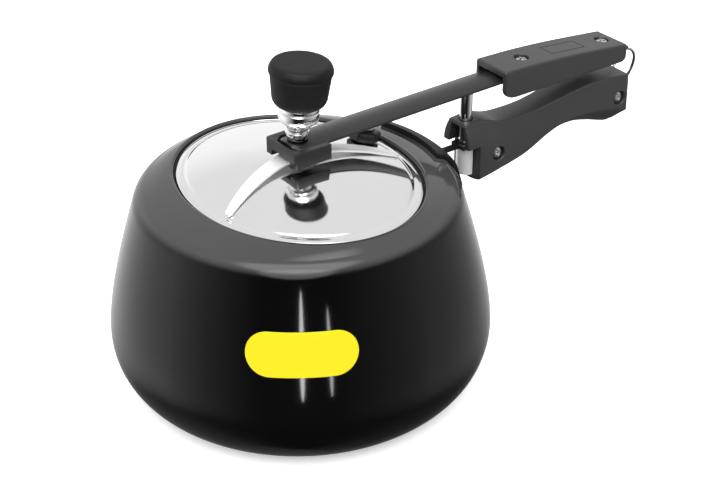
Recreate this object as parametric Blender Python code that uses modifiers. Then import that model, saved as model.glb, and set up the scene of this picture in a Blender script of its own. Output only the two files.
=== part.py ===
"""Stovetop pressure cooker with an inner oval lid, a lever bar and two long handles.

The origin is the centre of the pot's base on the surface that it stands on. +X runs along
the handles, +Z is up, and every length is in metres.
"""
import math

import bmesh
import bpy
from mathutils import Matrix, Vector

MM = 0.001
GAP = 0.3 * MM

# ---- pot ------------------------------------------------------------------------------
POT_SIDES = 64
POT_RADIUS = 105.0 * MM
POT_WIDEST_Z = 34.9 * MM
BASE_RADIUS = 73.8 * MM
SHOULDER_RADIUS = 86.6 * MM
SHOULDER_Z = 116.4 * MM
SHOULDER_FILLET = 5.0 * MM
SIDE_BULGE = 0.28
WALL = 3.0 * MM
FLOOR = 3.6 * MM
MOUTH_X = 62.4 * MM
MOUTH_Y = 74.9 * MM
MOUTH_Z = 122.5 * MM

# ---- lid ------------------------------------------------------------------------------
LID_TOP_Z = 131.6 * MM
LID_EDGE_Z = 120.7 * MM
LID_EDGE_INSET = 1.1 * MM
LID_THICKNESS = 2.0 * MM
FLANGE_REACH = 0.42
GASKET_INNER = 0.07
GASKET_OUTER = 0.36
GASKET_THICKNESS = 2.2 * MM
VALVE_X = 49.5 * MM
VALVE_Y = 8.5 * MM
VALVE_BORE = 4.3 * MM
VENT_RADIUS = 4.4 * MM

# ---- bow spring between lid and guide --------------------------------------------------
SPRING_HALF_LENGTH = 55.0 * MM
SPRING_BOW = 16.0 * MM
SPRING_CENTRE_Z = 134.5 * MM
SPRING_THICKNESS = 1.2 * MM

# ---- lever bar and its guide ----------------------------------------------------------
BAR_HALF_WIDTH = 9.5 * MM
BAR_EDGE_Z = 140.4 * MM
BAR_CROWN = 2.0 * MM
BAR_THICKNESS = 1.6 * MM
BAR_START_X = -7.6 * MM
BAR_BEND_X = 138.0 * MM
BAR_END_X = 225.5 * MM
BAR_SLOPE = 0.088
GUIDE_X = (-10.9 * MM, 12.0 * MM)
GUIDE_HALF_WIDTH = 14.0 * MM
GUIDE_Z = (134.1 * MM, 142.8 * MM)
VENT_HOLE_RADIUS = 5.6 * MM
POST_X = 116.0 * MM
POST_RADIUS = 3.65 * MM

# ---- handles --------------------------------------------------------------------------
LID_HANDLE_HALF_WIDTH = 12.9 * MM
LID_HANDLE_X = (133.4 * MM, 229.6 * MM)
LID_SCREWS_X = (156.4 * MM, 220.3 * MM)
LID_SCREW_SEAT = 2.8 * MM
BODY_HANDLE_HALF_WIDTH = 11.5 * MM
BODY_HANDLE_X = (109.3 * MM, 235.4 * MM)
BODY_SCREW_FRONT = (132.4 * MM, 98.2 * MM)
BODY_SCREW_REAR = (228.1 * MM, 105.8 * MM)
SCREW_RECESS_RADIUS = 4.4 * MM
SCREW_RECESS_DEPTH = 3.2 * MM
SCREW_HOLE_RADIUS = 2.2 * MM
SCREW_RADIUS = 1.9 * MM
# Side outline of the body handle, as (x, value) points in millimetres.
BODY_HANDLE_TOP = [(109.3, 120.5), (122.0, 120.8), (127.5, 119.6), (133.8, 117.4), (140.0, 116.3),
              (150.0, 115.8), (163.0, 116.1), (175.0, 117.5), (187.0, 119.4), (198.0, 121.0),
              (208.0, 121.8), (220.0, 121.3), (235.4, 119.4)]
BODY_HANDLE_TOP_HALF = [(109.3, 7.6), (122.0, 8.2), (135.0, 8.5), (163.0, 8.5), (187.0, 9.4), (208.0, 10.6),
              (235.4, 11.0)]
BODY_HANDLE_WAIST = [(109.3, 106.5), (122.0, 104.5), (150.0, 91.0), (235.4, 91.0)]
BODY_HANDLE_EDGE = [(107.4, 84.6), (117.0, 85.6), (133.6, 88.2), (153.4, 92.4), (169.6, 99.2),
               (180.7, 102.6), (191.5, 103.6), (204.0, 103.0), (218.0, 101.0), (230.2, 97.4), (235.4, 95.8)]
BODY_HANDLE_BELLY = [(107.4, 2.0), (150.0, 2.5), (168.0, 3.4), (184.0, 5.6), (196.0, 6.9), (209.0, 9.2),
               (219.0, 10.9), (226.0, 10.6), (231.0, 7.4), (235.4, 3.2)]

# ---- locking loop ----------------------------------------------------------------------
LOOP_BAR = (232.3 * MM, 135.0 * MM)
LOOP_LEG_Y = 5.5 * MM
LOOP_WIRE = 0.95 * MM
CATCH_ROOF_HALF_WIDTH = 10.2 * MM
CATCH_LEDGE_HALF_WIDTH = 4.0 * MM

# ---- pressure weight ------------------------------------------------------------------
WEIGHT_BASE_Z = 150.9 * MM
WEIGHT_NECK_Z = 163.8 * MM
WEIGHT_TOP_Z = 187.8 * MM
WEIGHT_CAP_RADIUS = 17.05 * MM
WEIGHT_SEAT = Vector((0.4, -0.3, 150.9)) * MM
WEIGHT_LEAN = math.radians(3.7)
WEIGHT_LEAN_TURN = math.radians(-37)

# ---- bracket between pot and body handle ----------------------------------------------
BRACKET_THICKNESS = 2.4 * MM
BRACKET_HALF_TURN = math.radians(18.5)
ARM_Z = (104.0 * MM, 106.5 * MM)
ARM_NECK_HALF_WIDTH = 1.9 * MM
ARM_HALF_WIDTH = 5.5 * MM
ARM_WIDE_X = 110.4 * MM
ARM_START_X = 92.6 * MM
ARM_END_X = 141.0 * MM
GUARD_X = 117.3 * MM
GUARD_RADIUS = 5.9 * MM
GUARD_Z = (87.4 * MM, 103.2 * MM)
RIVET_TURNS = (math.radians(-12), math.radians(12))
RIVET_PLACE = 0.91
RIVET_RADIUS = 2.2 * MM

# ---- label ----------------------------------------------------------------------------
LABEL_TURN = math.radians(-124.6)
LABEL_Z = 74.5 * MM
LABEL_HALF_HEIGHT = 11.8 * MM
LABEL_HALF_TURN = math.radians(16.8)

part_collection = None
cutter_collection = None


# ---- scene and materials --------------------------------------------------------------
def clear_scene():
    """Remove every object and make the two collections."""
    global part_collection, cutter_collection
    for obj in list(bpy.data.objects):
        bpy.data.objects.remove(obj, do_unlink=True)
    part_collection = bpy.data.collections.new("pressure_cooker")
    cutter_collection = bpy.data.collections.new("cutters")
    bpy.context.scene.collection.children.link(part_collection)
    bpy.context.scene.collection.children.link(cutter_collection)


def finish_material(name, color, roughness, metallic):
    """A Principled BSDF with the finish's colour, roughness and metallic value."""
    material = bpy.data.materials.new(name)
    material.use_nodes = True
    shader = material.node_tree.nodes["Principled BSDF"]
    shader.inputs["Base Color"].default_value = (*color, 1.0)
    shader.inputs["Roughness"].default_value = roughness
    shader.inputs["Metallic"].default_value = metallic
    return material


def hard_anodised():
    return finish_material("hard_anodised", (0.012, 0.012, 0.013), 0.28, 0.4)


def mirror_steel():
    return finish_material("mirror_steel", (0.78, 0.78, 0.78), 0.08, 1.0)


def chrome_plate():
    return finish_material("chrome_plate", (0.82, 0.82, 0.83), 0.06, 1.0)


def zinc_plate():
    return finish_material("zinc_plate", (0.55, 0.55, 0.56), 0.3, 1.0)


def bakelite():
    return finish_material("bakelite", (0.03, 0.03, 0.03), 0.42, 0.0)


def coated_steel():
    return finish_material("coated_steel", (0.04, 0.04, 0.042), 0.3, 0.3)


def moulded_black():
    return finish_material("moulded_black", (0.018, 0.018, 0.018), 0.45, 0.0)


def gasket_rubber():
    return finish_material("gasket_rubber", (0.02, 0.02, 0.02), 0.7, 0.0)


def label_film():
    return finish_material("label_film", (0.9, 0.82, 0.02), 0.35, 0.0)


# ---- shape helpers --------------------------------------------------------------------
def place(name, mesh, material=None):
    """Put a mesh into the scene as a named part, or as a cutter when it has no material."""
    obj = bpy.data.objects.new(name, mesh)
    if material is None:
        cutter_collection.objects.link(obj)
        obj.hide_render = True
        obj.display_type = "WIRE"
    else:
        part_collection.objects.link(obj)
        mesh.materials.append(material)
    return obj


def mesh_from(name, bm):
    mesh = bpy.data.meshes.new(name)
    bm.to_mesh(mesh)
    bm.free()
    return mesh


def loft(name, sections, material=None, ring=False):
    """Join outlines of equal point count. ring joins the last to the first, else both are capped."""
    bm = bmesh.new()
    loops = [[bm.verts.new(point) for point in section] for section in sections]
    pairs = list(zip(loops, loops[1:]))
    if ring:
        pairs.append((loops[-1], loops[0]))
    else:
        bm.faces.new(loops[0])
        bm.faces.new(loops[-1])
    count = len(loops[0])
    for first, second in pairs:
        for k in range(count):
            n = (k + 1) % count
            bm.faces.new((first[k], first[n], second[n], second[k]))
    bmesh.ops.recalc_face_normals(bm, faces=bm.faces)
    return place(name, mesh_from(name, bm), material)


def ellipse(a, b, z):
    """Points of a level ellipse with semi-axes a along X and b along Y."""
    turns = [2 * math.pi * k / POT_SIDES for k in range(POT_SIDES)]
    return [(a * math.cos(t), b * math.sin(t), z) for t in turns]


def box(name, low, high, material=None):
    """A box between two corners."""
    bm = bmesh.new()
    bmesh.ops.create_cube(bm, size=1.0)
    size = Vector(high) - Vector(low)
    centre = (Vector(high) + Vector(low)) / 2
    bmesh.ops.scale(bm, vec=size, verts=bm.verts)
    bmesh.ops.translate(bm, vec=centre, verts=bm.verts)
    return place(name, mesh_from(name, bm), material)


def rod(name, start, end, radius, sides=24, material=None):
    """A round bar, or a hexagonal one with six sides, between two points."""
    start, end = Vector(start), Vector(end)
    axis = end - start
    bm = bmesh.new()
    bmesh.ops.create_cone(bm, cap_ends=True, segments=sides, radius1=radius, radius2=radius,
                          depth=axis.length)
    turn = axis.to_track_quat("Z", "Y").to_matrix().to_4x4()
    bmesh.ops.transform(bm, matrix=Matrix.Translation((start + end) / 2) @ turn, verts=bm.verts)
    return place(name, mesh_from(name, bm), material)


def turned(name, profile, material, steps=32, place_at=(0, 0, 0), axis=(0, 0, 1), ring=False):
    """Turn a profile of (radius, height) points about an axis through place_at.

    The profile runs top to bottom on its outer side. ring closes it into a loop.
    """
    bm = bmesh.new()
    verts = [bm.verts.new((radius, 0, height)) for radius, height in profile]
    edges = list(zip(verts, verts[1:]))
    if ring:
        edges.append((verts[-1], verts[0]))
    for first, second in edges:
        bm.edges.new((first, second))
    obj = place(name, mesh_from(name, bm), material)
    screw = obj.modifiers.new("turn", "SCREW")
    screw.axis = "Z"
    screw.steps = steps
    screw.render_steps = steps
    screw.use_merge_vertices = True
    screw.merge_threshold = 0.00001
    screw.use_smooth_shade = True
    obj.rotation_euler = Vector(axis).to_track_quat("Z", "Y").to_euler()
    obj.location = place_at
    return obj


def cut(obj, cutter):
    """Take a cutter out of a part."""
    modifier = obj.modifiers.new("cut_" + cutter.name, "BOOLEAN")
    modifier.operation = "DIFFERENCE"
    modifier.solver = "EXACT"
    modifier.object = cutter
    return obj


def weld_on(obj, piece):
    """Join a guide body to a part."""
    modifier = obj.modifiers.new("join_" + piece.name, "BOOLEAN")
    modifier.operation = "UNION"
    modifier.solver = "EXACT"
    modifier.object = piece
    return obj


def soften(obj, width, segments=2):
    """Round a part's sharp edges."""
    modifier = obj.modifiers.new("soften", "BEVEL")
    modifier.width = width
    modifier.segments = segments
    modifier.limit_method = "ANGLE"
    modifier.angle_limit = math.radians(50)
    return obj


def outline_prism(name, spline_points, half_width, material=None):
    """A side outline in XZ, given as (x, z, corner) points, made half_width thick each way in Y."""
    curve = bpy.data.curves.new(name + "_outline", "CURVE")
    curve.dimensions = "2D"
    curve.fill_mode = "BOTH"
    curve.extrude = half_width
    curve.resolution_u = 4
    spline = curve.splines.new("BEZIER")
    spline.bezier_points.add(len(spline_points) - 1)
    spline.use_cyclic_u = True
    for point, (x, z, corner) in zip(spline.bezier_points, spline_points):
        point.co = (x, z, 0)
        kind = "VECTOR" if corner else "AUTO"
        point.handle_left_type = kind
        point.handle_right_type = kind
    holder = bpy.data.objects.new(name + "_outline", curve)
    cutter_collection.objects.link(holder)
    holder.rotation_euler = (math.pi / 2, 0, 0)
    bpy.context.view_layer.update()
    depsgraph = bpy.context.evaluated_depsgraph_get()
    mesh = bpy.data.meshes.new_from_object(holder.evaluated_get(depsgraph))
    bm = bmesh.new()
    bm.from_mesh(mesh)
    bmesh.ops.transform(bm, matrix=holder.matrix_world, verts=bm.verts)
    bmesh.ops.remove_doubles(bm, verts=bm.verts, dist=0.00001)
    bmesh.ops.recalc_face_normals(bm, faces=bm.faces)
    bpy.data.objects.remove(holder, do_unlink=True)
    bpy.data.meshes.remove(mesh)
    return place(name, mesh_from(name, bm), material)


def smooth_value(points, x):
    """Read a smooth curve through (x, value) points, with flat ends, at x."""
    if x <= points[0][0]:
        return points[0][1]
    if x >= points[-1][0]:
        return points[-1][1]
    last = len(points) - 1
    k = max(i for i in range(last) if points[i][0] <= x)
    slopes = []
    for i in (k, k + 1):
        low, high = points[max(i - 1, 0)], points[min(i + 1, last)]
        slopes.append((high[1] - low[1]) / (high[0] - low[0]))
    step = points[k + 1][0] - points[k][0]
    t = (x - points[k][0]) / step
    return ((2 * t ** 3 - 3 * t ** 2 + 1) * points[k][1] + (t ** 3 - 2 * t ** 2 + t) * step * slopes[0]
            + (3 * t ** 2 - 2 * t ** 3) * points[k + 1][1] + (t ** 3 - t ** 2) * step * slopes[1])


def spread(low, high, count):
    """Evenly spaced values from low to high."""
    return [low + (high - low) * k / (count - 1) for k in range(count)]


# ---- pot profile ----------------------------------------------------------------------
def side_point(t, inset=0.0):
    """Point of the pot's side at t from 0, the widest ring, to 1, the shoulder's corner."""
    control_z = POT_WIDEST_Z + SIDE_BULGE * (SHOULDER_Z - POT_WIDEST_Z)
    radius = (1 - t * t) * POT_RADIUS + t * t * SHOULDER_RADIUS - inset
    z = (1 - t) ** 2 * POT_WIDEST_Z + 2 * t * (1 - t) * control_z + t * t * SHOULDER_Z
    return radius, z


def side_radius(z, inset=0.0):
    """The side's radius at a height."""
    t = min(range(201), key=lambda k: abs(side_point(k / 200)[1] - z)) / 200
    return side_point(t, inset)[0]


def corner_points(inset=0.0, count=6):
    """The rounding between the side and the shoulder, from the side up to the shoulder."""
    corner = Vector((SHOULDER_RADIUS, SHOULDER_Z))
    down = (Vector(side_point(0.85)) - corner).normalized()
    mouth = Vector(((MOUTH_X + MOUTH_Y) / 2, MOUTH_Z))
    inward = (mouth - corner).normalized()
    half = down.angle(inward) / 2
    centre = corner + (down + inward).normalized() * SHOULDER_FILLET / math.sin(half)
    first = corner + down * SHOULDER_FILLET / math.tan(half) - centre
    last = corner + inward * SHOULDER_FILLET / math.tan(half) - centre
    sweep = first.angle(last)
    points = []
    for k in range(count):
        w = k / (count - 1)
        arm = (first * math.sin((1 - w) * sweep) + last * math.sin(w * sweep)) / math.sin(sweep)
        points.append(centre + arm * (1 - inset / SHOULDER_FILLET))
    return points


def rim_ring(reach, drop=0.0):
    """Ring of the shoulder: reach 0 is the mouth's edge, 1 is where the shoulder's rounding ends."""
    end = corner_points()[-1]
    return ellipse(MOUTH_X + (end.x - MOUTH_X) * reach, MOUTH_Y + (end.x - MOUTH_Y) * reach,
                   MOUTH_Z + (end.y - MOUTH_Z) * reach - drop)


def mouth_ring(offset, drop):
    return ellipse(MOUTH_X + offset, MOUTH_Y + offset, MOUTH_Z - drop)


def foot_point(turn, inset=0.0):
    """Point of the quarter ellipse from the flat base, turn 0, to the widest ring, turn 90 degrees."""
    radius = BASE_RADIUS + (POT_RADIUS - BASE_RADIUS - inset) * math.sin(turn)
    return radius, POT_WIDEST_Z - (POT_WIDEST_Z - inset) * math.cos(turn)


# ---- root body ------------------------------------------------------------------------
def make_pot(material):
    """The drawn aluminium pot: foot, side, shoulder and an oval mouth with a rounded lip."""
    foot_turns = spread(0, math.pi / 2, 7)
    sections = [ellipse(r, r, z) for r, z in (foot_point(t) for t in foot_turns)]
    sections += [ellipse(r, r, z) for r, z in (side_point(t) for t in (0.28, 0.52, 0.74, 0.9))]
    sections += [ellipse(p.x, p.x, p.y) for p in corner_points(count=4)]
    sections += [rim_ring(0.5)]
    sections += [mouth_ring(1.6 * MM, 0.35 * MM), mouth_ring(0.5 * MM, 0.2 * MM)]
    sections += [mouth_ring(0.0, 1.1 * MM), mouth_ring(0.5 * MM, 2.6 * MM)]
    sections += [rim_ring(0.5, WALL)]
    sections += [ellipse(p.x, p.x, p.y) for p in reversed(corner_points(WALL, count=3))]
    inner_sides = (side_point(t, WALL) for t in (0.85, 0.6, 0.3))
    sections += [ellipse(r, r, z) for r, z in inner_sides]
    inner_foot = (foot_point(t, FLOOR) for t in reversed(foot_turns[1::2] + [math.pi / 2]))
    sections += [ellipse(r, r, z) for r, z in inner_foot]
    sections += [ellipse(BASE_RADIUS - FLOOR, BASE_RADIUS - FLOOR, FLOOR)]
    pot = loft("pot_body", sections, material)
    for turn in RIVET_TURNS:
        cut(pot, rivet_cutter("pot_rivet_hole_%d" % round(math.degrees(turn)), turn))
    return pot


def rivet_frame(turn):
    """Centre of a rivet on the pot's outer side, and the side's outward normal there."""
    low, high = Vector(side_point(RIVET_PLACE - 0.05)), Vector(side_point(RIVET_PLACE + 0.05))
    along = (high - low).normalized()
    radius, z = side_point(RIVET_PLACE)
    centre = Vector((radius * math.cos(turn), radius * math.sin(turn), z))
    return centre, Vector((along.y * math.cos(turn), along.y * math.sin(turn), -along.x))


def rivet_cutter(name, turn):
    centre, normal = rivet_frame(turn)
    return rod(name, centre - normal * 0.008, centre + normal * 0.008, RIVET_RADIUS + GAP, 12)


def make_rivets(material):
    """Two rivets that hold the bracket to the pot's side, with a head outside and one inside."""
    outer = BRACKET_THICKNESS + 4 * GAP
    inner = -WALL - 2 * GAP
    for name, turn in zip(("bracket_rivet_near", "bracket_rivet_far"), RIVET_TURNS):
        profile = [(0, outer + 1.8 * MM), (2.6 * MM, outer + 1.4 * MM), (4.2 * MM, outer),
                   (RIVET_RADIUS, outer), (RIVET_RADIUS, inner), (3.8 * MM, inner),
                   (2.4 * MM, inner - 1.3 * MM), (0, inner - 1.6 * MM)]
        centre, normal = rivet_frame(turn)
        turned(name, profile, material, 16, centre, normal)


def bracket_outline(turn):
    """Section of the saddle that lies on the shoulder's corner, at a turn about the pot."""
    path = [Vector(side_point(0.84)), *corner_points(count=4)]
    end = corner_points()[-1]
    path.append(Vector((end.x - 3.5 * MM, end.y + 1.3 * MM)))
    inner, outer = [], []
    for k, point in enumerate(path):
        along = path[min(k + 1, len(path) - 1)] - path[max(k - 1, 0)]
        normal = Vector((along.y, -along.x)).normalized()
        inner.append(point + normal * 2 * GAP)
        outer.append(point + normal * (2 * GAP + BRACKET_THICKNESS))
    return [(p.x * math.cos(turn), p.x * math.sin(turn), p.y) for p in inner + outer[::-1]]


def make_bracket(material):
    """Steel saddle on the pot's shoulder, with a channel-shaped arm that runs into the handle."""
    turns = spread(-BRACKET_HALF_TURN, BRACKET_HALF_TURN, 9)
    bracket = loft("handle_bracket", [bracket_outline(t) for t in turns], material)
    neck = box("bracket_neck", (ARM_START_X, -ARM_NECK_HALF_WIDTH, ARM_Z[0]),
               (ARM_WIDE_X + GAP, ARM_NECK_HALF_WIDTH, ARM_Z[1]))
    weld_on(bracket, neck)
    arm = box("bracket_arm", (ARM_WIDE_X, -ARM_HALF_WIDTH, ARM_Z[0] - 0.1 * MM),
              (ARM_END_X, ARM_HALF_WIDTH, ARM_Z[1] - 0.1 * MM))
    weld_on(bracket, arm)
    for side in (-1, 1):
        y_low, y_high = sorted((side * 3.6 * MM, side * ARM_HALF_WIDTH))
        cheek = box("bracket_cheek_%d" % side, (119 * MM, y_low, 93.8 * MM),
                    (ARM_END_X, y_high, ARM_Z[0] + GAP))
        weld_on(bracket, cheek)
    front_x, front_z = BODY_SCREW_FRONT
    cut(bracket, rod("bracket_screw_hole", (front_x, -0.02, front_z), (front_x, 0.02, front_z),
                     SCREW_HOLE_RADIUS, 12))
    cut(bracket, rod("bracket_stud_hole", (POST_X, 0, 0.1), (POST_X, 0, 0.11), SCREW_HOLE_RADIUS, 12))
    for turn in RIVET_TURNS:
        cut(bracket, rivet_cutter("bracket_rivet_hole_%d" % round(math.degrees(turn)), turn))
    return bracket


def make_flame_guard(material):
    """Half-round plate in front of the handle's foot that keeps the flame off it."""
    def section(z):
        outer = [(GUARD_X - GUARD_RADIUS * math.cos(t), GUARD_RADIUS * math.sin(t), z)
                 for t in spread(-math.pi / 2, math.pi / 2, 11)]
        inner = [(GUARD_X - (GUARD_RADIUS - MM) * math.cos(t), (GUARD_RADIUS - MM) * math.sin(t), z)
                 for t in spread(math.pi / 2, -math.pi / 2, 11)]
        return outer + inner
    return loft("flame_guard", [section(z) for z in GUARD_Z], material)


def make_post(material):
    """Fulcrum post with a domed top and a stud that passes through the bracket's arm."""
    top = 141.8 * MM
    foot = ARM_Z[1] + GAP
    profile = [(0, top), (1.8 * MM, top - 0.2 * MM), (3.0 * MM, top - 0.7 * MM),
               (POST_RADIUS, top - 1.5 * MM), (POST_RADIUS, foot), (1.9 * MM, foot),
               (1.9 * MM, 99.6 * MM), (0, 99.6 * MM)]
    return turned("fulcrum_post", profile, material, 28, (POST_X, 0, 0))


def hex_nut(name, start, end, radius, bore, material):
    """A hexagonal nut between two points on its axis."""
    nut = rod(name, start, end, radius, 6, material)
    reach = (Vector(end) - Vector(start)) * 0.2
    return cut(nut, rod(name + "_bore", Vector(start) - reach, Vector(end) + reach, bore, 16))


def handle_section(x):
    """Section of the body handle: a crowned top, sides that widen down to the waist, a rounded belly."""
    top = smooth_value(BODY_HANDLE_TOP, x / MM) * MM
    edge = smooth_value(BODY_HANDLE_EDGE, x / MM) * MM
    belly = smooth_value(BODY_HANDLE_BELLY, x / MM) * MM
    half = BODY_HANDLE_HALF_WIDTH
    narrow = smooth_value(BODY_HANDLE_TOP_HALF, x / MM) * MM
    waist = max(smooth_value(BODY_HANDLE_WAIST, x / MM) * MM, edge + 0.8 * MM)
    right = [(0, top + 0.4 * MM), (narrow - 1.2 * MM, top), (narrow, top - 1.0 * MM), (half, waist)]
    for turn in spread(0, math.pi / 2, 6):
        right.append((half - belly * (1 - math.cos(turn)), edge - belly * math.sin(turn)))
    left = [(-y, z) for y, z in reversed(right[1:])]
    return [(x, y, z) for y, z in right + left]


def make_body_handle(material):
    """Moulded handle of the pot, with a slotted front, an arm socket and loop slots at the rear."""
    start, end = BODY_HANDLE_X
    handle = loft("body_handle", [handle_section(x) for x in spread(start, end, 25)], material)
    channel = [[(x, y * MM, z * MM) for y, z in ((-9.6, 105.0), (6.6, 105.0), (4.4, 118.9), (-6.0, 118.9))]
               for x in (0.1, 124 * MM)]
    cut(handle, loft("front_channel", channel))
    cut(handle, box("front_recess", (0.1, -0.02, 0.07), (GUARD_X + 0.7 * MM, 0.02, ARM_Z[1] + GAP)))
    cut(handle, box("arm_socket", (0.1, -ARM_HALF_WIDTH - GAP, 93.5 * MM),
                    (ARM_END_X + GAP, ARM_HALF_WIDTH + GAP, ARM_Z[1] + GAP)))
    cut(handle, rod("post_hole", (POST_X, 0, 0.11), (POST_X, 0, 0.13), POST_RADIUS + 0.5 * MM, 24))
    for label, (x, z) in (("front", BODY_SCREW_FRONT), ("rear", BODY_SCREW_REAR)):
        cut(handle, rod(label + "_screw_hole", (x, -0.02, z), (x, 0.02, z), SCREW_HOLE_RADIUS, 12))
        for side in (-1, 1):
            wall = side * BODY_HANDLE_HALF_WIDTH
            cut(handle, rod("%s_recess_%d" % (label, side), (x, wall - side * SCREW_RECESS_DEPTH, z),
                            (x, wall + side * 2 * MM, z), SCREW_RECESS_RADIUS, 20))
    for side in (-1, 1):
        y_low, y_high = sorted((side * 4.0 * MM, side * 7.0 * MM))
        cut(handle, box("loop_slot_%d" % side, (223.4 * MM, y_low, 0.07), (0.245, y_high, 116.5 * MM)))
    return handle


def make_body_screws(steel):
    """Two cross screws of the body handle, with their nuts in the far recesses."""
    half = BODY_HANDLE_HALF_WIDTH
    seat = half - SCREW_RECESS_DEPTH
    for label, (x, z) in (("front", BODY_SCREW_FRONT), ("rear", BODY_SCREW_REAR)):
        profile = [(0, half - 0.6 * MM), (2.6 * MM, half - 0.7 * MM), (3.8 * MM, half - 1.6 * MM),
                   (3.8 * MM, seat + GAP), (SCREW_RADIUS, seat + GAP), (SCREW_RADIUS, 1.2 * MM - half),
                   (0, 1.2 * MM - half)]
        turned("body_handle_screw_" + label, profile, steel, 20, (x, 0, z), (0, -1, 0))
        hex_nut("body_handle_nut_" + label, (x, seat + GAP, z), (x, half - 0.8 * MM, z),
                3.9 * MM, 2.15 * MM, steel)


def make_label(material):
    """Blank pill-shaped sticker on the pot's side."""
    sections = []
    for k in range(17):
        across = -1 + 2 * k / 16
        past_straight = max(0.0, abs(across) - 0.6) / 0.4
        half = LABEL_HALF_HEIGHT * math.sqrt(max(0.0, 1 - (0.985 * past_straight) ** 2))
        turn = LABEL_TURN + across * LABEL_HALF_TURN
        inner, outer = [], []
        for z in spread(LABEL_Z - half, LABEL_Z + half, 5):
            inner.append((side_radius(z, -1.3 * GAP), z))
            outer.append((side_radius(z, -2.6 * GAP), z))
        sections.append([(r * math.cos(turn), r * math.sin(turn), z) for r, z in inner + outer[::-1]])
    return loft("front_label", sections, material)


# ---- lid body -------------------------------------------------------------------------
def dome_height(x, y):
    """The lid's upper surface, an elliptic paraboloid."""
    across = (x / (MOUTH_X - LID_EDGE_INSET)) ** 2 + (y / (MOUTH_Y - LID_EDGE_INSET)) ** 2
    return LID_TOP_Z - (LID_TOP_Z - LID_EDGE_Z) * across


def dome_ring(share, drop=0.0):
    a = (MOUTH_X - LID_EDGE_INSET) * share
    b = (MOUTH_Y - LID_EDGE_INSET) * share
    return ellipse(a, b, LID_TOP_Z - (LID_TOP_Z - LID_EDGE_Z) * share ** 2 - drop)


def make_lid(material):
    """Domed oval lid with a stepped flange that carries the gasket under the pot's rim."""
    seat = WALL + GASKET_THICKNESS + 3 * GAP
    shares = (0.1, 0.35, 0.55, 0.72, 0.87, 1.0)
    sections = [dome_ring(s) for s in shares]
    sections += [mouth_ring(-0.8 * MM, 3.6 * MM), mouth_ring(-0.6 * MM, seat)]
    sections += [rim_ring(FLANGE_REACH, seat), rim_ring(FLANGE_REACH, seat + 4 * MM)]
    sections += [rim_ring(FLANGE_REACH - 0.1, seat + 4 * MM)]
    sections += [rim_ring(FLANGE_REACH - 0.1, seat + 1.8 * MM)]
    sections += [mouth_ring(-2.6 * MM, seat + 1.8 * MM)]
    sections += [dome_ring(s, LID_THICKNESS) for s in (0.95, 0.72, 0.45, 0.1)]
    lid = loft("lid", sections, material)
    cut(lid, rod("lid_vent_hole", (0, 0, 0.11), (0, 0, 0.14), VENT_RADIUS + 0.4 * MM, 24))
    foot, up = valve_frame()
    cut(lid, rod("lid_valve_hole", foot - up * 0.01, foot + up * 0.01, VALVE_BORE, 20))
    return lid


def make_gasket(material):
    """Rubber ring between the lid's flange and the underside of the pot's rim."""
    top = WALL + 1.5 * GAP
    bottom = WALL + GASKET_THICKNESS + 1.5 * GAP
    sections = [rim_ring(GASKET_INNER, top), rim_ring(GASKET_OUTER, top),
                rim_ring(GASKET_OUTER, bottom), rim_ring(GASKET_INNER, bottom)]
    return loft("lid_gasket", sections, material, ring=True)


def make_vent(chrome, steel):
    """Vent tube with a flange below the lid, its jam nut above the lid and the collar above the bar."""
    bore = 1.4 * MM
    under = LID_TOP_Z - LID_THICKNESS - 1.4 * GAP
    profile = [(2.9 * MM, 158.0 * MM), (2.9 * MM, 151.0 * MM), (VENT_RADIUS, 150.2 * MM),
               (VENT_RADIUS, under), (8.0 * MM, under), (8.0 * MM, under - 3 * MM),
               (VENT_RADIUS, under - 3.6 * MM), (VENT_RADIUS, 119.5 * MM),
               (bore, 119.5 * MM), (bore, 158.0 * MM)]
    turned("vent_tube", profile, chrome, 24, ring=True)
    hex_nut("vent_nut", (0, 0, LID_TOP_Z + GAP), (0, 0, 134.0 * MM), 6.7 * MM, 4.7 * MM, steel)
    collar = [(5.0 * MM, 150.1 * MM), (5.9 * MM, 149.8 * MM), (5.9 * MM, 147.6 * MM),
              (6.5 * MM, 147.3 * MM), (6.5 * MM, 145.2 * MM), (6.0 * MM, 144.9 * MM),
              (4.7 * MM, 144.9 * MM), (4.7 * MM, 149.6 * MM)]
    turned("vent_collar", collar, chrome, 24, ring=True)


def spring_section(t):
    """Section of the bow spring at t from -1 to 1: it arches down to the lid and bows sideways."""
    x = SPRING_HALF_LENGTH * t
    y = -SPRING_BOW * t * t
    tip_z = dome_height(SPRING_HALF_LENGTH, -SPRING_BOW) + 2 * GAP
    z = tip_z + (SPRING_CENTRE_Z - tip_z) * (1 - abs(t) ** 1.7)
    half = 4.9 * MM * (1 - 0.62 * t * t) + 2.4 * MM * math.exp(-(t / 0.12) ** 2)
    lean = 2 * SPRING_BOW * t / SPRING_HALF_LENGTH
    across = Vector((lean, 1, 0)).normalized() * half
    centre = Vector((x, y, z))
    up = Vector((0, 0, SPRING_THICKNESS))
    return [centre - across, centre + across, centre + across + up, centre - across + up]


def make_spring(material):
    """Bow spring that holds the lid level below the bar."""
    places = [0, 0.06, 0.12, 0.18, 0.26, 0.36, 0.47, 0.58, 0.69, 0.79, 0.88, 0.95, 1.0]
    steps = [-t for t in reversed(places[1:])] + places
    spring = loft("leaf_spring", [spring_section(t) for t in steps], material)
    cut(spring, rod("spring_hole", (0, 0, 0.13), (0, 0, 0.14), 5.0 * MM, 24))
    return spring


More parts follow.
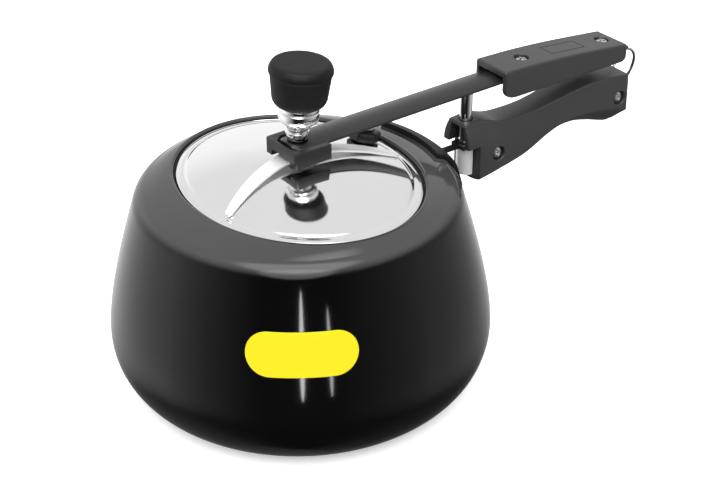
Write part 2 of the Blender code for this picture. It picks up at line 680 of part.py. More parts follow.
def valve_frame():
    """Foot of the safety valve on the dome, and the dome's normal there."""
    slope_x = -2 * (LID_TOP_Z - LID_EDGE_Z) * VALVE_X / (MOUTH_X - LID_EDGE_INSET) ** 2
    slope_y = -2 * (LID_TOP_Z - LID_EDGE_Z) * VALVE_Y / (MOUTH_Y - LID_EDGE_INSET) ** 2
    foot = Vector((VALVE_X, VALVE_Y, dome_height(VALVE_X, VALVE_Y)))
    return foot, Vector((-slope_x, -slope_y, 1)).normalized()


def make_safety_valve(black, chrome, steel):
    """Fusible safety valve: hexagonal black body on the lid, plug on top and nut below the lid."""
    foot, up = valve_frame()
    body = rod("safety_valve_body", foot + up * 2 * GAP, foot + up * 6.6 * MM, 9.2 * MM, 6, black)
    soften(body, 0.8 * MM, 1)
    cut(body, rod("valve_body_bore", foot, foot + up * 0.01, VALVE_BORE, 20))
    under = -LID_THICKNESS - 3 * GAP
    profile = [(0, 9.4 * MM), (3.4 * MM, 9.2 * MM), (5.2 * MM, 8.4 * MM), (5.2 * MM, 6.9 * MM),
               (4.0 * MM, 6.9 * MM), (4.0 * MM, under - 5 * MM), (0, under - 5 * MM)]
    turned("safety_valve_plug", profile, chrome, 20, foot, up)
    hex_nut("safety_valve_nut", foot + up * (under - 3.6 * MM), foot + up * under,
            6.6 * MM, VALVE_BORE, steel)


# ---- weight body ----------------------------------------------------------------------
def make_weight(chrome, black, steel):
    """Pressure weight, which sits loose on the vent and leans a little: chrome body with the
    needle that closes the vent, and a black grip cap."""
    base = WEIGHT_BASE_Z
    neck = WEIGHT_NECK_Z
    body = [(0, 170 * MM), (7.6 * MM, 170 * MM), (8.0 * MM, 169.4 * MM), (8.0 * MM, neck),
            (10.9 * MM, neck), (10.9 * MM, 161.2 * MM), (10.3 * MM, 160.9 * MM), (10.3 * MM, 159.9 * MM),
            (10.9 * MM, 159.6 * MM), (10.9 * MM, 156.4 * MM), (9.9 * MM, 154.9 * MM),
            (6.6 * MM, 152.6 * MM), (6.2 * MM, base), (4.4 * MM, base), (4.4 * MM, 160.5 * MM),
            (2.3 * MM, 160.5 * MM), (2.3 * MM, 166.3 * MM), (0, 166.3 * MM)]
    lean = Vector((math.sin(WEIGHT_LEAN) * math.cos(WEIGHT_LEAN_TURN),
                   math.sin(WEIGHT_LEAN) * math.sin(WEIGHT_LEAN_TURN), math.cos(WEIGHT_LEAN)))
    foot = WEIGHT_SEAT - lean * base
    turned("weight_body", body, chrome, 32, foot, lean)
    needle = [(0, 166 * MM), (2.0 * MM, 166 * MM), (2.0 * MM, 160 * MM), (0, 158.3 * MM)]
    turned("weight_needle", needle, steel, 16, foot, lean)
    top = WEIGHT_TOP_Z
    wide = WEIGHT_CAP_RADIUS
    grip = [(0, top), (14.4 * MM, top), (15.6 * MM, top - 0.5 * MM), (wide, 184.6 * MM),
            (wide, 182.0 * MM), (16.0 * MM, 176.5 * MM), (15.0 * MM, 170.0 * MM), (14.5 * MM, 166.2 * MM),
            (13.6 * MM, 164.6 * MM), (12.0 * MM, neck + GAP), (8.3 * MM, neck + GAP),
            (8.3 * MM, 170.3 * MM), (0, 170.3 * MM)]
    turned("weight_cap", grip, black, 32, foot, lean)


# ---- lever body -----------------------------------------------------------------------
def bar_drop(x):
    """How far the bar has bent down at x, inside the lid handle."""
    return max(0.0, x - BAR_BEND_X) * BAR_SLOPE


def bar_section(x, half_width, grow=0.0, deep=0.0):
    """Section of the crowned strip. grow widens it, deep carries its underside down for a cutter."""
    drop = bar_drop(x)
    ys = spread(-half_width - grow, half_width + grow, 7)

    def crown(y):
        return BAR_CROWN * (1 - min(1.0, abs(y) / BAR_HALF_WIDTH) ** 2)
    under = [(x, y, BAR_EDGE_Z - drop + (crown(y) if not deep else -deep)) for y in ys]
    over = [(x, y, BAR_EDGE_Z - drop + crown(y) + BAR_THICKNESS + grow) for y in reversed(ys)]
    return under + over


def make_bar(material):
    """Lever bar: a crowned steel strip from the guide, over the post, into the lid handle."""
    stations = [(BAR_START_X, 5.6 * MM), (BAR_START_X + 3.9 * MM, BAR_HALF_WIDTH)]
    stations += [(x, BAR_HALF_WIDTH) for x in (20 * MM, 60 * MM, 100 * MM, BAR_BEND_X, BAR_END_X)]
    bar = loft("lever_bar", [bar_section(x, half) for x, half in stations], material)
    cut(bar, rod("bar_vent_hole", (0, 0, 0.135), (0, 0, 0.15), VENT_HOLE_RADIUS, 24))
    for k, x in enumerate(LID_SCREWS_X):
        cut(bar, rod("bar_screw_hole_%d" % k, (x, 0, 0.12), (x, 0, 0.15), 2.3 * MM, 12))
    return bar


def make_guide(material):
    """Moulded guide that holds the bar's end over the lid, open below for the spring."""
    x_low, x_high = GUIDE_X
    z_low, z_high = GUIDE_Z
    half = GUIDE_HALF_WIDTH
    chamfer = 1.0 * MM
    corners = [(x_low + chamfer, -half), (x_high, -half), (x_high, half), (x_low + chamfer, half),
               (x_low, half - chamfer), (x_low, -half + chamfer)]
    guide = loft("bar_guide", [[(x, y, z) for x, y in corners] for z in (z_low, z_high)], material)
    seat = [(BAR_START_X - 0.4 * MM, 6.0 * MM), (BAR_START_X + 3.7 * MM, BAR_HALF_WIDTH + 0.3 * MM),
            (x_high + 2 * MM, BAR_HALF_WIDTH + 0.3 * MM)]
    floor = BAR_EDGE_Z - GAP
    sections = []
    for x, width in seat:
        sections.append([(x, -width, floor), (x, width, floor), (x, width, 0.15), (x, -width, 0.15)])
    cut(guide, loft("guide_bar_seat", sections))
    cut(guide, box("guide_spring_slot", (x_low - MM, -8.2 * MM, 0.13), (x_high + MM, 8.2 * MM, 137.6 * MM)))
    cut(guide, rod("guide_vent_hole", (0, 0, 0.13), (0, 0, 0.15), VENT_HOLE_RADIUS, 24))
    return guide


def make_lid_handle(material):
    """Upper handle: a moulded cover with side walls over the bar, and a catch for the loop behind."""
    front, rear = (value / MM for value in LID_HANDLE_X)
    outline = [(front + 1.4, 148.9, True), (front + 26, 147.9, False), (front + 57, 145.4, False),
               (rear - 22, 143.5, False), (rear, 141.0, True), (rear - 0.9, 132.4, True),
               (rear - 3.2, 130.3, True), (front + 42, 131.0, False), (front + 7.2, 131.5, True),
               (front + 3.1, 132.8, False), (front + 0.8, 135.6, False), (front, 139.5, True)]
    outline = [(x * MM, z * MM, corner) for x, z, corner in outline]
    handle = outline_prism("lid_handle", outline, LID_HANDLE_HALF_WIDTH, material)
    soften(handle, 0.9 * MM, 2)
    wall = LID_HANDLE_HALF_WIDTH - 2.5 * MM
    lift = BAR_EDGE_Z + BAR_CROWN + BAR_THICKNESS + GAP
    channel = []
    for x in (0.12, BAR_BEND_X, BAR_END_X + 1.5 * MM):
        roof = lift - bar_drop(x)
        channel.append([(x, -wall, 0.12), (x, wall, 0.12), (x, wall, roof), (x, -wall, roof)])
    cut(handle, loft("handle_channel", channel))
    for k, x in enumerate(LID_SCREWS_X):
        seat = lift - bar_drop(x) + LID_SCREW_SEAT
        cut(handle, rod("handle_screw_hole_%d" % k, (x, 0, 0.12), (x, 0, 0.16), 2.3 * MM, 12))
        cut(handle, rod("handle_screw_recess_%d" % k, (x, 0, seat), (x, 0, 0.16), 4.5 * MM, 24))
    bar_x, bar_z = LOOP_BAR
    roof, ledge = CATCH_ROOF_HALF_WIDTH, CATCH_LEDGE_HALF_WIDTH
    weld_on(handle, box("catch_roof", (rear * MM - 1.5 * MM, -roof, bar_z + 1.5 * MM),
                        (bar_x + 1.2 * MM, roof, bar_z + 3.0 * MM)))
    weld_on(handle, box("catch_ledge", (rear * MM - 2.1 * MM, -ledge, bar_z - 3.4 * MM),
                        (bar_x + 0.6 * MM, ledge, bar_z - 1.7 * MM)))
    return handle


def make_lid_handle_screws(steel):
    """Two screws through the upper handle and the bar, with nuts below the bar."""
    lift = BAR_EDGE_Z + BAR_CROWN + BAR_THICKNESS + GAP
    for label, x in zip(("front", "rear"), LID_SCREWS_X):
        seat = lift - bar_drop(x) + LID_SCREW_SEAT + GAP
        under = BAR_EDGE_Z - bar_drop(x)
        profile = [(0, seat + 1.6 * MM), (2.6 * MM, seat + 1.5 * MM), (3.9 * MM, seat + 0.8 * MM),
                   (3.9 * MM, seat), (1.9 * MM, seat), (1.9 * MM, under - 2.5 * MM), (0, under - 2.5 * MM)]
        turned("lid_handle_screw_" + label, profile, steel, 20, (x, 0, 0))
        hex_nut("lid_handle_nut_" + label, (x, 0, under - 3.2 * MM), (x, 0, under - 0.6 * MM),
                4.2 * MM, 2.2 * MM, steel)


# ---- locking loop ---------------------------------------------------------------------
def loop_route():
    """Half of the wire's route: an eye round the rear screw, a leg bowed outwards, and the top."""
    pivot_x, pivot_z = BODY_SCREW_REAR
    eye = 3.3 * MM
    points = []
    for turn in spread(math.radians(-10), math.radians(-290), 11):
        points.append((pivot_x + eye * math.cos(turn), -LOOP_LEG_Y, pivot_z + eye * math.sin(turn)))
    leg = [(234.5, 5.5, 111.2), (238.6, 5.9, 115.6), (240.9, 6.8, 120.9), (241.4, 7.8, 126.6),
           (240.4, 8.0, 131.0), (237.8, 7.8, 133.9), (235.0, 7.2, 135.0), (233.2, 6.2, 135.0)]
    points += [(x * MM, -y * MM, z * MM) for x, y, z in leg]
    bar_x, bar_z = LOOP_BAR
    return points + [(bar_x, -4.8 * MM, bar_z)]


def make_loop(material):
    """Wire loop that swings up from the body handle and holds the lid handle down."""
    half = loop_route()
    route = half + [(x, -y, z) for x, y, z in reversed(half)]
    curve = bpy.data.curves.new("locking_loop", "CURVE")
    curve.dimensions = "3D"
    curve.bevel_depth = LOOP_WIRE
    curve.bevel_resolution = 2
    curve.use_fill_caps = True
    spline = curve.splines.new("POLY")
    spline.points.add(len(route) - 1)
    for point, place_at in zip(spline.points, route):
        point.co = (*place_at, 1)
    loop = bpy.data.objects.new("locking_loop", curve)
    part_collection.objects.link(loop)
    curve.materials.append(material)
    return loop


def build():
    clear_scene()
    black_metal = hard_anodised()
    mirror = mirror_steel()
    chrome = chrome_plate()
    steel = zinc_plate()
    handle_plastic = bakelite()
    bar_coat = coated_steel()
    black_plastic = moulded_black()
    make_pot(black_metal)
    make_bracket(bar_coat)
    make_rivets(steel)
    make_flame_guard(chrome)
    make_post(chrome)
    hex_nut("fulcrum_nut", (POST_X, 0, 100.4 * MM), (POST_X, 0, ARM_Z[0] - GAP), 3.5 * MM, 2.2 * MM, steel)
    make_body_handle(handle_plastic)
    make_body_screws(steel)
    make_label(label_film())
    make_lid(mirror)
    make_gasket(gasket_rubber())
    make_vent(chrome, steel)
    make_spring(mirror)
    make_safety_valve(black_plastic, chrome, steel)
    make_weight(chrome, black_plastic, steel)
    make_bar(bar_coat)
    make_guide(black_plastic)
    make_lid_handle(handle_plastic)
    make_lid_handle_screws(steel)
    make_loop(chrome)


build()
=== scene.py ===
"""Looks of a stovetop pressure cooker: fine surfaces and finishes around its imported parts.

Every shape is worked out in millimetres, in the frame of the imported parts: the origin is the
centre of the pot's base, +X runs along the handles and +Z is up. closed_mesh turns
millimetres into metres.
"""

import math

import bmesh
import bpy
import numpy as np
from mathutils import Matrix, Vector


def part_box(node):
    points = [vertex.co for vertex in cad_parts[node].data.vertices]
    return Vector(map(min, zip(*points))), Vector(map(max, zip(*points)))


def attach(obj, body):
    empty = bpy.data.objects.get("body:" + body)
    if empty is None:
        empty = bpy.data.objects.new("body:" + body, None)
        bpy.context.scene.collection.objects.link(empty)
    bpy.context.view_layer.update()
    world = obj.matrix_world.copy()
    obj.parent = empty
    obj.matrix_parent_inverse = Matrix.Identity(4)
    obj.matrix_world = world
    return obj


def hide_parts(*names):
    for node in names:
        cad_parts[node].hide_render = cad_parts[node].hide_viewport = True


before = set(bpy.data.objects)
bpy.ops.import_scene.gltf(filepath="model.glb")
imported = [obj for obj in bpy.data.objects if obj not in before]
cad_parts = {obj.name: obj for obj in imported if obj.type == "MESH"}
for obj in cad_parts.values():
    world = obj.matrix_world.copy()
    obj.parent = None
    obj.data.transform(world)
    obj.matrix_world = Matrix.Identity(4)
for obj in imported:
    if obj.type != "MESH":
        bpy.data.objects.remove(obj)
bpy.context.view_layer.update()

MM = 0.001
ROUND = 7           # points in a rounded corner
TURN_STEPS = 96     # points round a turned piece


def mm_box(node):
    """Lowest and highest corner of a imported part, in millimetres."""
    low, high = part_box(node)
    return np.array(low) / MM, np.array(high) / MM


# ---- shape arithmetic ------------------------------------------------------------------
def smooth_curve(points, x):
    """Cubic through (x, value) points, flat at both ends: Hermite pieces whose slopes are those
    of the chords between neighbours."""
    points = np.asarray(points, float)
    xs, values = points[:, 0], points[:, 1]
    slopes = np.empty(len(xs))
    slopes[1:-1] = (values[2:] - values[:-2]) / (xs[2:] - xs[:-2])
    slopes[0] = (values[1] - values[0]) / (xs[1] - xs[0])
    slopes[-1] = (values[-1] - values[-2]) / (xs[-1] - xs[-2])
    x = np.clip(np.asarray(x, float), xs[0], xs[-1])
    k = np.clip(np.searchsorted(xs, x) - 1, 0, len(xs) - 2)
    step = xs[k + 1] - xs[k]
    t = (x - xs[k]) / step
    return ((2 * t ** 3 - 3 * t ** 2 + 1) * values[k] + (t ** 3 - 2 * t ** 2 + t) * step * slopes[k]
            + (3 * t ** 2 - 2 * t ** 3) * values[k + 1] + (t ** 3 - t ** 2) * step * slopes[k + 1])


def rounded_path(corners, reach, closed=False):
    """Round a path's corners. Each corner P becomes the curve (1-t)^2 A + 2t(1-t) P + t^2 B, where
    A and B lie on the path at the distance reach before and after P."""
    corners = np.asarray(corners, float)
    reach = np.broadcast_to(np.asarray(reach, float), len(corners))[:, None]
    before = np.roll(corners, 1, axis=0) - corners
    after = np.roll(corners, -1, axis=0) - corners
    before_length = np.maximum(np.linalg.norm(before, axis=1, keepdims=True), 1e-9)
    after_length = np.maximum(np.linalg.norm(after, axis=1, keepdims=True), 1e-9)
    start = corners + before * np.minimum(reach / before_length, 0.49)
    end = corners + after * np.minimum(reach / after_length, 0.49)
    t = np.linspace(0, 1, ROUND)[None, :, None]
    bent = (1 - t) ** 2 * start[:, None] + 2 * t * (1 - t) * corners[:, None] + t ** 2 * end[:, None]
    if closed:
        return bent.reshape(-1, corners.shape[1])
    return np.concatenate([corners[:1], bent[1:-1].reshape(-1, corners.shape[1]), corners[-1:]])


def frame_along(axis):
    """Two unit vectors across an axis, and the axis itself."""
    along = np.asarray(axis, float) / np.linalg.norm(axis)
    helper = np.array([1.0, 0.0, 0.0]) if abs(along[0]) < 0.9 else np.array([0.0, 1.0, 0.0])
    across = np.cross(helper, along)
    across /= np.linalg.norm(across)
    return across, np.cross(along, across), along


def turned(profile, foot=(0, 0, 0), axis=(0, 0, 1), steps=TURN_STEPS):
    """Grid of a turned piece: foot + radius (cos t, sin t) across the axis + height along it."""
    across, over, along = frame_along(axis)
    t = np.linspace(0, 2 * np.pi, steps, endpoint=False)[:, None]
    ring = np.cos(t) * across + np.sin(t) * over
    profile = np.asarray(profile, float)
    radius, height = profile[:, 0, None, None], profile[:, 1, None, None]
    return np.asarray(foot, float) + radius * ring + height * along


def prism(outline, layers, foot=(0, 0, 0), axis=(0, 0, 1)):
    """Grid of an outline round the axis, stacked in (scale, height) layers:
    foot + scale (u across + v over) + height along."""
    across, over, along = frame_along(axis)
    outline, layers = np.asarray(outline, float), np.asarray(layers, float)
    flat = outline[:, :1] * across + outline[:, 1:] * over
    return np.asarray(foot, float) + layers[:, 0, None, None] * flat + layers[:, 1, None, None] * along


def hexagon(radius, reach):
    """Rounded outline of a hexagon with that corner radius."""
    t = np.arange(6) * np.pi / 3
    return rounded_path(np.stack([radius * np.cos(t), radius * np.sin(t)], axis=1), reach, closed=True)


def rings(a, b, z, steps=256):
    """Grid of level ellipses: (a cos t, b sin t, z) for each row of half-lengths and heights."""
    t = np.linspace(0, 2 * np.pi, steps, endpoint=False)
    a, b, z = (np.asarray(value, float)[:, None] for value in (a, b, z))
    return np.stack([a * np.cos(t), b * np.sin(t), z + 0 * t], axis=-1)


def creased_arc(crease, count):
    """Rise and run, each from 0 to 1, of a quarter arc that leaves out its first crease radians."""
    slant = np.linspace(crease, np.pi / 2, count)[None, :]
    return ((np.sin(slant) - np.sin(crease)) / (1 - np.sin(crease)),
            (np.cos(crease) - np.cos(slant)) / np.cos(crease))


def moulding(x, top, bottom, half, top_round, bottom_round, end_round, crown=0.0, crease=0.0):
    """Grid of a bar with rounded corners, station by station along X.

    Each corner is centre + r (cos t, sin t); between the top corners the height gains
    crown (1 - (y / half)^2). Within end_round of an end, every side moves in by
    r - sqrt(r^2 - (r - s)^2), s being the distance to the end. crease is the angle that
    the lower corners' arcs start at, so they meet the side at an edge.
    """
    x = np.asarray(x, float)
    distance = np.minimum(np.minimum(x - x[0], x[-1] - x), end_round)
    shrink = end_round - np.sqrt(np.maximum(end_round ** 2 - (end_round - distance) ** 2, 0))
    top, bottom, half = top - shrink, bottom + shrink, half - shrink
    upper = np.minimum(top_round, half * 0.9)[:, None] + 0 * x[:, None]
    lower = np.minimum(bottom_round + 0 * x, half * 0.96)[:, None]
    t = np.linspace(0, np.pi / 2, 9)[None, :]
    rise, run = creased_arc(crease, 13)
    share = np.linspace(0, 1, 11)[None, :-1]
    flat_y = (half[:, None] - upper) * share
    flat_z = top[:, None] + 0 * share
    y = np.concatenate([flat_y, half[:, None] - upper + upper * np.sin(t),
                        half[:, None] - lower * run], axis=1)
    z = np.concatenate([flat_z, top[:, None] - upper + upper * np.cos(t),
                        bottom[:, None] + lower - lower * rise], axis=1)
    z = z + np.where(z > (top + bottom)[:, None] / 2, crown * (1 - (y / half[:, None]) ** 2), 0)
    y = np.concatenate([y, -y[:, :0:-1]], axis=1)
    z = np.concatenate([z, z[:, :0:-1]], axis=1)
    return np.stack([x[:, None] + 0 * y, y, z], axis=-1)


def stations(start, end, count, end_round):
    """Values from start to end that crowd within end_round of both ends, for a rounded end."""
    near = end_round * (1 - np.cos(np.linspace(0, np.pi / 2, 7)))
    middle = np.linspace(start + end_round, end - end_round, count)[1:-1]
    return np.concatenate([start + near, middle, end - near[::-1]])


def tube(path, radius, steps=16):
    """Grid of a round wire: path + radius (cos t n + sin t b). The normals n are carried along
    the path, each made square to the next tangent."""
    path = np.asarray(path, float)
    tangent = np.gradient(path, axis=0)
    tangent /= np.linalg.norm(tangent, axis=1, keepdims=True)
    normal = np.cross(tangent[0], [0.0, 1.0, 0.0])
    normals = []
    for direction in tangent:
        normal = normal - direction * (normal @ direction)
        normal = normal / np.linalg.norm(normal)
        normals.append(normal)
    normals = np.array(normals)[:, None]
    binormals = np.cross(tangent[:, None], normals)
    t = np.linspace(0, 2 * np.pi, steps, endpoint=False)[None, :, None]
    return path[:, None] + radius * (np.cos(t) * normals + np.sin(t) * binormals)


def through(points, per_span=8):
    """Smooth path through points: the Catmull-Rom cubic of each span and its two neighbours."""
    points = np.asarray(points, float)
    padded = np.concatenate([2 * points[:1] - points[1:2], points, 2 * points[-1:] - points[-2:-1]])
    a, b, c, d = (padded[k:len(padded) - 3 + k, None] for k in range(4))
    t = np.linspace(0, 1, per_span, endpoint=False)[None, :, None]
    curve = 0.5 * (2 * b + (c - a) * t + (2 * a - 5 * b + 4 * c - d) * t ** 2
                   + (3 * b - a - 3 * c + d) * t ** 3)
    return np.concatenate([curve.reshape(-1, points.shape[1]), points[-1:]])


# ---- meshes ------------------------------------------------------------------------------
def closed_mesh(name, grid, ring=False):
    """Mesh of a grid whose rows are loops: quads between rows, a flat cap at each end unless
    ring joins the last row to the first. Points that coincide become one."""
    rows, columns = grid.shape[:2]
    index = np.arange(rows * columns).reshape(rows, columns)
    lower = index if ring else index[:-1]
    upper = np.roll(index, -1, axis=0) if ring else index[1:]
    quads = np.stack([lower, np.roll(lower, -1, axis=1), np.roll(upper, -1, axis=1), upper], axis=-1)
    faces = quads.reshape(-1, 4).tolist()
    if not ring:
        faces += [index[0].tolist(), index[-1].tolist()]
    mesh = bpy.data.meshes.new(name)
    mesh.from_pydata((grid.reshape(-1, 3) * MM).tolist(), [], faces)
    weld = bmesh.new()
    weld.from_mesh(mesh)
    bmesh.ops.remove_doubles(weld, verts=weld.verts, dist=0.000002)
    bmesh.ops.recalc_face_normals(weld, faces=weld.faces)
    weld.to_mesh(mesh)
    weld.free()
    return mesh


def piece(name, grid, finish, body, replaces=(), ring=False, sharp=35):
    """Make a grid a piece of the cooker with a finish, riding on a body."""
    mesh = closed_mesh(name, grid, ring)
    mesh.shade_smooth()
    mesh.set_sharp_from_angle(angle=math.radians(sharp))
    obj = bpy.data.objects.new(name, mesh)
    bpy.context.scene.collection.objects.link(obj)
    mesh.materials.append(finish.material)
    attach(obj, body)
    if replaces:
        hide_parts(*replaces)
    return obj


def carve(obj, cutters, edge=0.0, sharp=35):
    """Take closed grids out of a piece, and round the cut edges by edge."""
    helpers = []
    for grid in cutters:
        helper = bpy.data.objects.new("carver", closed_mesh("carver", grid))
        bpy.context.scene.collection.objects.link(helper)
        step = obj.modifiers.new("carve", "BOOLEAN")
        step.operation = "DIFFERENCE"
        step.solver = "EXACT"
        step.object = helper
        helpers.append(helper)
    if edge:
        soften = obj.modifiers.new("soften", "BEVEL")
        soften.width = edge * MM
        soften.segments = 2
        soften.limit_method = "ANGLE"
        soften.angle_limit = math.radians(40)
        soften.use_clamp_overlap = True
    depsgraph = bpy.context.evaluated_depsgraph_get()
    result = bpy.data.meshes.new_from_object(obj.evaluated_get(depsgraph))
    obj.modifiers.clear()
    obj.data = result
    result.shade_smooth()
    result.set_sharp_from_angle(angle=math.radians(sharp))
    for helper in helpers:
        bpy.data.objects.remove(helper, do_unlink=True)
    return obj


def block(low, high):
    """Grid of a plain box, for carving."""
    (x0, y0, z0), (x1, y1, z1) = low, high
    return np.array([[(x, y0, z0), (x, y1, z0), (x, y1, z1), (x, y0, z1)] for x in (x0, x1)], float)


def drill(start, end, radius, steps=48):
    """Grid of a plain cylinder between two points, for carving."""
    start, end = np.asarray(start, float), np.asarray(end, float)
    length = np.linalg.norm(end - start)
    return turned([(radius, 0), (radius, length)], start, end - start, steps)


# ---- finishes ----------------------------------------------------------------------------
class Value:
    """A number that varies over a surface. Python sums on it add Math nodes."""

    def __init__(self, finish, socket):
        self.finish = finish
        self.socket = socket

    def maths(self, operation, first, second=0.0):
        node = self.finish.node("ShaderNodeMath", {"operation": operation}, {0: first, 1: second})
        return node["Value"]

    def __add__(self, other):
        return self.maths("ADD", self, other)

    __radd__ = __add__

    def __sub__(self, other):
        return self.maths("SUBTRACT", self, other)

    def __rsub__(self, other):
        return self.maths("SUBTRACT", other, self)

    def __mul__(self, other):
        return self.maths("MULTIPLY", self, other)

    __rmul__ = __mul__

    def __truediv__(self, other):
        return self.maths("DIVIDE", self, other)

    def __pow__(self, other):
        return self.maths("POWER", self, other)


class Node:
    """A shader node whose outputs are read, by name or number, as Values."""

    def __init__(self, finish, node):
        self.finish = finish
        self.node = node

    def __getitem__(self, output):
        return Value(self.finish, self.node.outputs[output])


class Finish:
    """One surface finish: a Principled shader and the procedural nodes that feed it."""

    def __init__(self, slot, name, **constants):
        self.slot = slot
        self.material = bpy.data.materials.new(name)
        self.material.use_nodes = True
        self.tree = self.material.node_tree
        self.shader = self.tree.nodes["Principled BSDF"]
        for socket, value in constants.items():
            self.shader.inputs[socket.replace("_", " ")].default_value = value
        self.place = self.node("ShaderNodeTexCoord")["Object"]

    def node(self, kind, settings=None, inputs=None):
        """Add a node, set its settings, then its sockets by values or links."""
        node = self.tree.nodes.new(kind)
        for name, value in (settings or {}).items():
            setattr(node, name, value)
        for name, value in (inputs or {}).items():
            self.feed(node.inputs[name], value)
        return Node(self, node)

    def feed(self, socket, value):
        if isinstance(value, Value):
            self.tree.links.new(value.socket, socket)
        else:
            socket.default_value = value

    def height(self):
        """Height above the pot's base, in metres."""
        return self.node("ShaderNodeSeparateXYZ", None, {"Vector": self.place})["Z"]

    def noise(self, scale, detail=3.0, roughness=0.5, stretch=None, distortion=0.0):
        """Noise from 0 to 1; scale is in bumps per metre, and stretch multiplies it per axis."""
        place = self.place
        if stretch:
            place = self.node("ShaderNodeMapping", None, {"Vector": place, "Scale": stretch})["Vector"]
        return self.node("ShaderNodeTexNoise", None, {
            "Vector": place, "Scale": scale, "Detail": detail,
            "Roughness": roughness, "Distortion": distortion})["Fac"]

    def step(self, value, low, high):
        """Smooth step from 0 at low to 1 at high."""
        return self.node("ShaderNodeMapRange", {"interpolation_type": "SMOOTHSTEP"}, {
            "Value": value, "From Min": low, "From Max": high})["Result"]

    def clamp(self, value):
        return self.node("ShaderNodeClamp", None, {"Value": value})["Result"]

    def mix(self, share, first, second):
        """Colour between two colours."""
        return self.node("ShaderNodeMix", {"data_type": "RGBA"}, {
            "Factor": share, 6: (*first, 1) if isinstance(first, tuple) else first,
            7: (*second, 1) if isinstance(second, tuple) else second})[2]

    def bump(self, height, strength, distance):
        """Normal from a height pattern; distance is the relief's depth in metres."""
        return self.node("ShaderNodeBump", None, {
            "Height": height, "Strength": strength, "Distance": distance})["Normal"]

    def wear(self, **sockets):
        """Link varying values to the shader's sockets."""
        for socket, value in sockets.items():
            self.feed(self.shader.inputs[socket.replace("_", " ")], value)
        return self


def hard_anodised():
    """Gloss black anodised aluminium: a faint grain, softer and shinier patches, fine specks. The
    shoulder, which lies flat to the light, gets painted light: a greyer base colour than the sides."""
    finish = Finish("hard_anodised", "hard_anodised", Metallic=0.0, Specular_IOR_Level=0.3)
    cloud = finish.noise(9.0, 4.0)
    grain = finish.noise(2600.0, 2.0)
    speck = finish.step(finish.noise(900.0, 1.0), 0.7, 0.78)
    # painted light: from 112.5 mm up, the shoulder takes the greyer colour top instead of the near-black
    # side, for the light it catches from above; the speck and cloud mottle in both is the finish's own
    shoulder = finish.step(finish.height(), 0.1125, 0.1165)
    side = finish.mix(speck * 0.35 + cloud * 0.25, (0.0012, 0.0012, 0.0013), (0.0045, 0.0045, 0.0048))
    top = finish.mix(speck * 0.4 + cloud * 0.6, (0.036, 0.036, 0.037), (0.056, 0.056, 0.057))
    return finish.wear(
        Base_Color=finish.mix(shoulder, side, top),
        Roughness=0.055 + cloud * 0.035 + grain * 0.02,
        Normal=finish.bump(grain, 0.05, 0.00002))


def mottled(slot, name, colours, patterns, roughness, relief=None, **constants):
    """Finish whose colour and roughness follow sums of noises. Each pattern is (scale, detail, its
    share of the colour, its share of the roughness, further noise settings); relief is
    (the number of the pattern that stands up, its strength, its depth in metres)."""
    finish = Finish(slot, name, **constants)
    fields, colour_share = [], 0.0
    for scale, detail, in_colour, in_roughness, settings in patterns:
        field = finish.noise(scale, detail, **settings)
        fields.append(field)
        colour_share = field * in_colour + colour_share if in_colour else colour_share
        roughness = field * in_roughness + roughness if in_roughness else roughness
    finish.wear(Base_Color=finish.mix(colour_share, *colours), Roughness=roughness)
    if relief:
        number, strength, depth = relief
        finish.wear(Normal=finish.bump(fields[number], strength, depth))
    return finish


def grey(value, blue=0.0):
    return (value, value, value + blue)


def moulded_black(name, low, colour, shine):
    """Black moulding: eggshell texture with rubbed clouding."""
    return mottled("moulded_black", name, (colour, tuple(value * 1.9 for value in colour)),
                   [(1900.0, 3.0, 0.3, 0.06, {}), (60.0, 4.0, 0.7, 0.12, {})],
                   low, (0, 0.25, 0.00005), Specular_IOR_Level=shine)


anodised = hard_anodised()
# polished stainless steel: soft smears and hair-fine polishing lines
steel = mottled("mirror_steel", "mirror_steel", (grey(0.72), grey(0.8)),
                [(14.0, 5.0, 1.0, 0.05, {"roughness": 0.6, "distortion": 0.6}),
                 (60.0, 3.0, 0.0, 0.02, {"roughness": 0.6, "stretch": (1.0, 28.0, 6.0)})],
                0.035, (1, 0.03, 0.00001), Metallic=1.0)
# bright chrome with a breath of smear
chrome = mottled("chrome_plate", "chrome_plate", (grey(0.8, 0.01), grey(0.88, 0.01)),
                 [(90.0, 4.0, 1.0, 0.06, {})], 0.03, Metallic=1.0)
# bright zinc: cloudy crystals and small pits
zinc = mottled("zinc_plate", "zinc_plate", (grey(0.45, 0.01), grey(0.68, 0.01)),
               [(700.0, 3.0, 1.0, 0.14, {}), (2400.0, 2.0, 0.0, 0.0, {})],
               0.22, (1, 0.12, 0.00003), Metallic=1.0)
# spring strip, polished less than the lid: even, soft, with fine cross lines
spring_steel = mottled("mirror_steel", "satin_steel", (grey(0.84), grey(0.93)),
                       [(700.0, 3.0, 0.6, 0.1, {"roughness": 0.6, "stretch": (1.0, 0.08, 0.3)}),
                        (60.0, 3.0, 0.4, 0.05, {})],
                       0.36, (0, 0.08, 0.00001), Metallic=0.75)
# chrome over a brushed sleeve: bright and soft, with lengthwise lines
sleeve_chrome = mottled("chrome_plate", "satin_chrome", (grey(0.88, 0.01), grey(0.96, 0.01)),
                        [(1500.0, 3.0, 0.5, 0.12, {"roughness": 0.6, "stretch": (1.0, 1.0, 0.05)}),
                         (120.0, 3.0, 0.5, 0.0, {})],
                        0.38, (0, 0.1, 0.00001), Metallic=0.6)
# dull black coat of the saddle: fine grit and faint handling marks
saddle_black = mottled("coated_steel", "saddle_coat", (grey(0.003), grey(0.007)),
                       [(2200.0, 3.0, 0.3, 0.06, {}), (50.0, 4.0, 0.7, 0.1, {})],
                       0.42, (0, 0.15, 0.00003), Specular_IOR_Level=0.2)
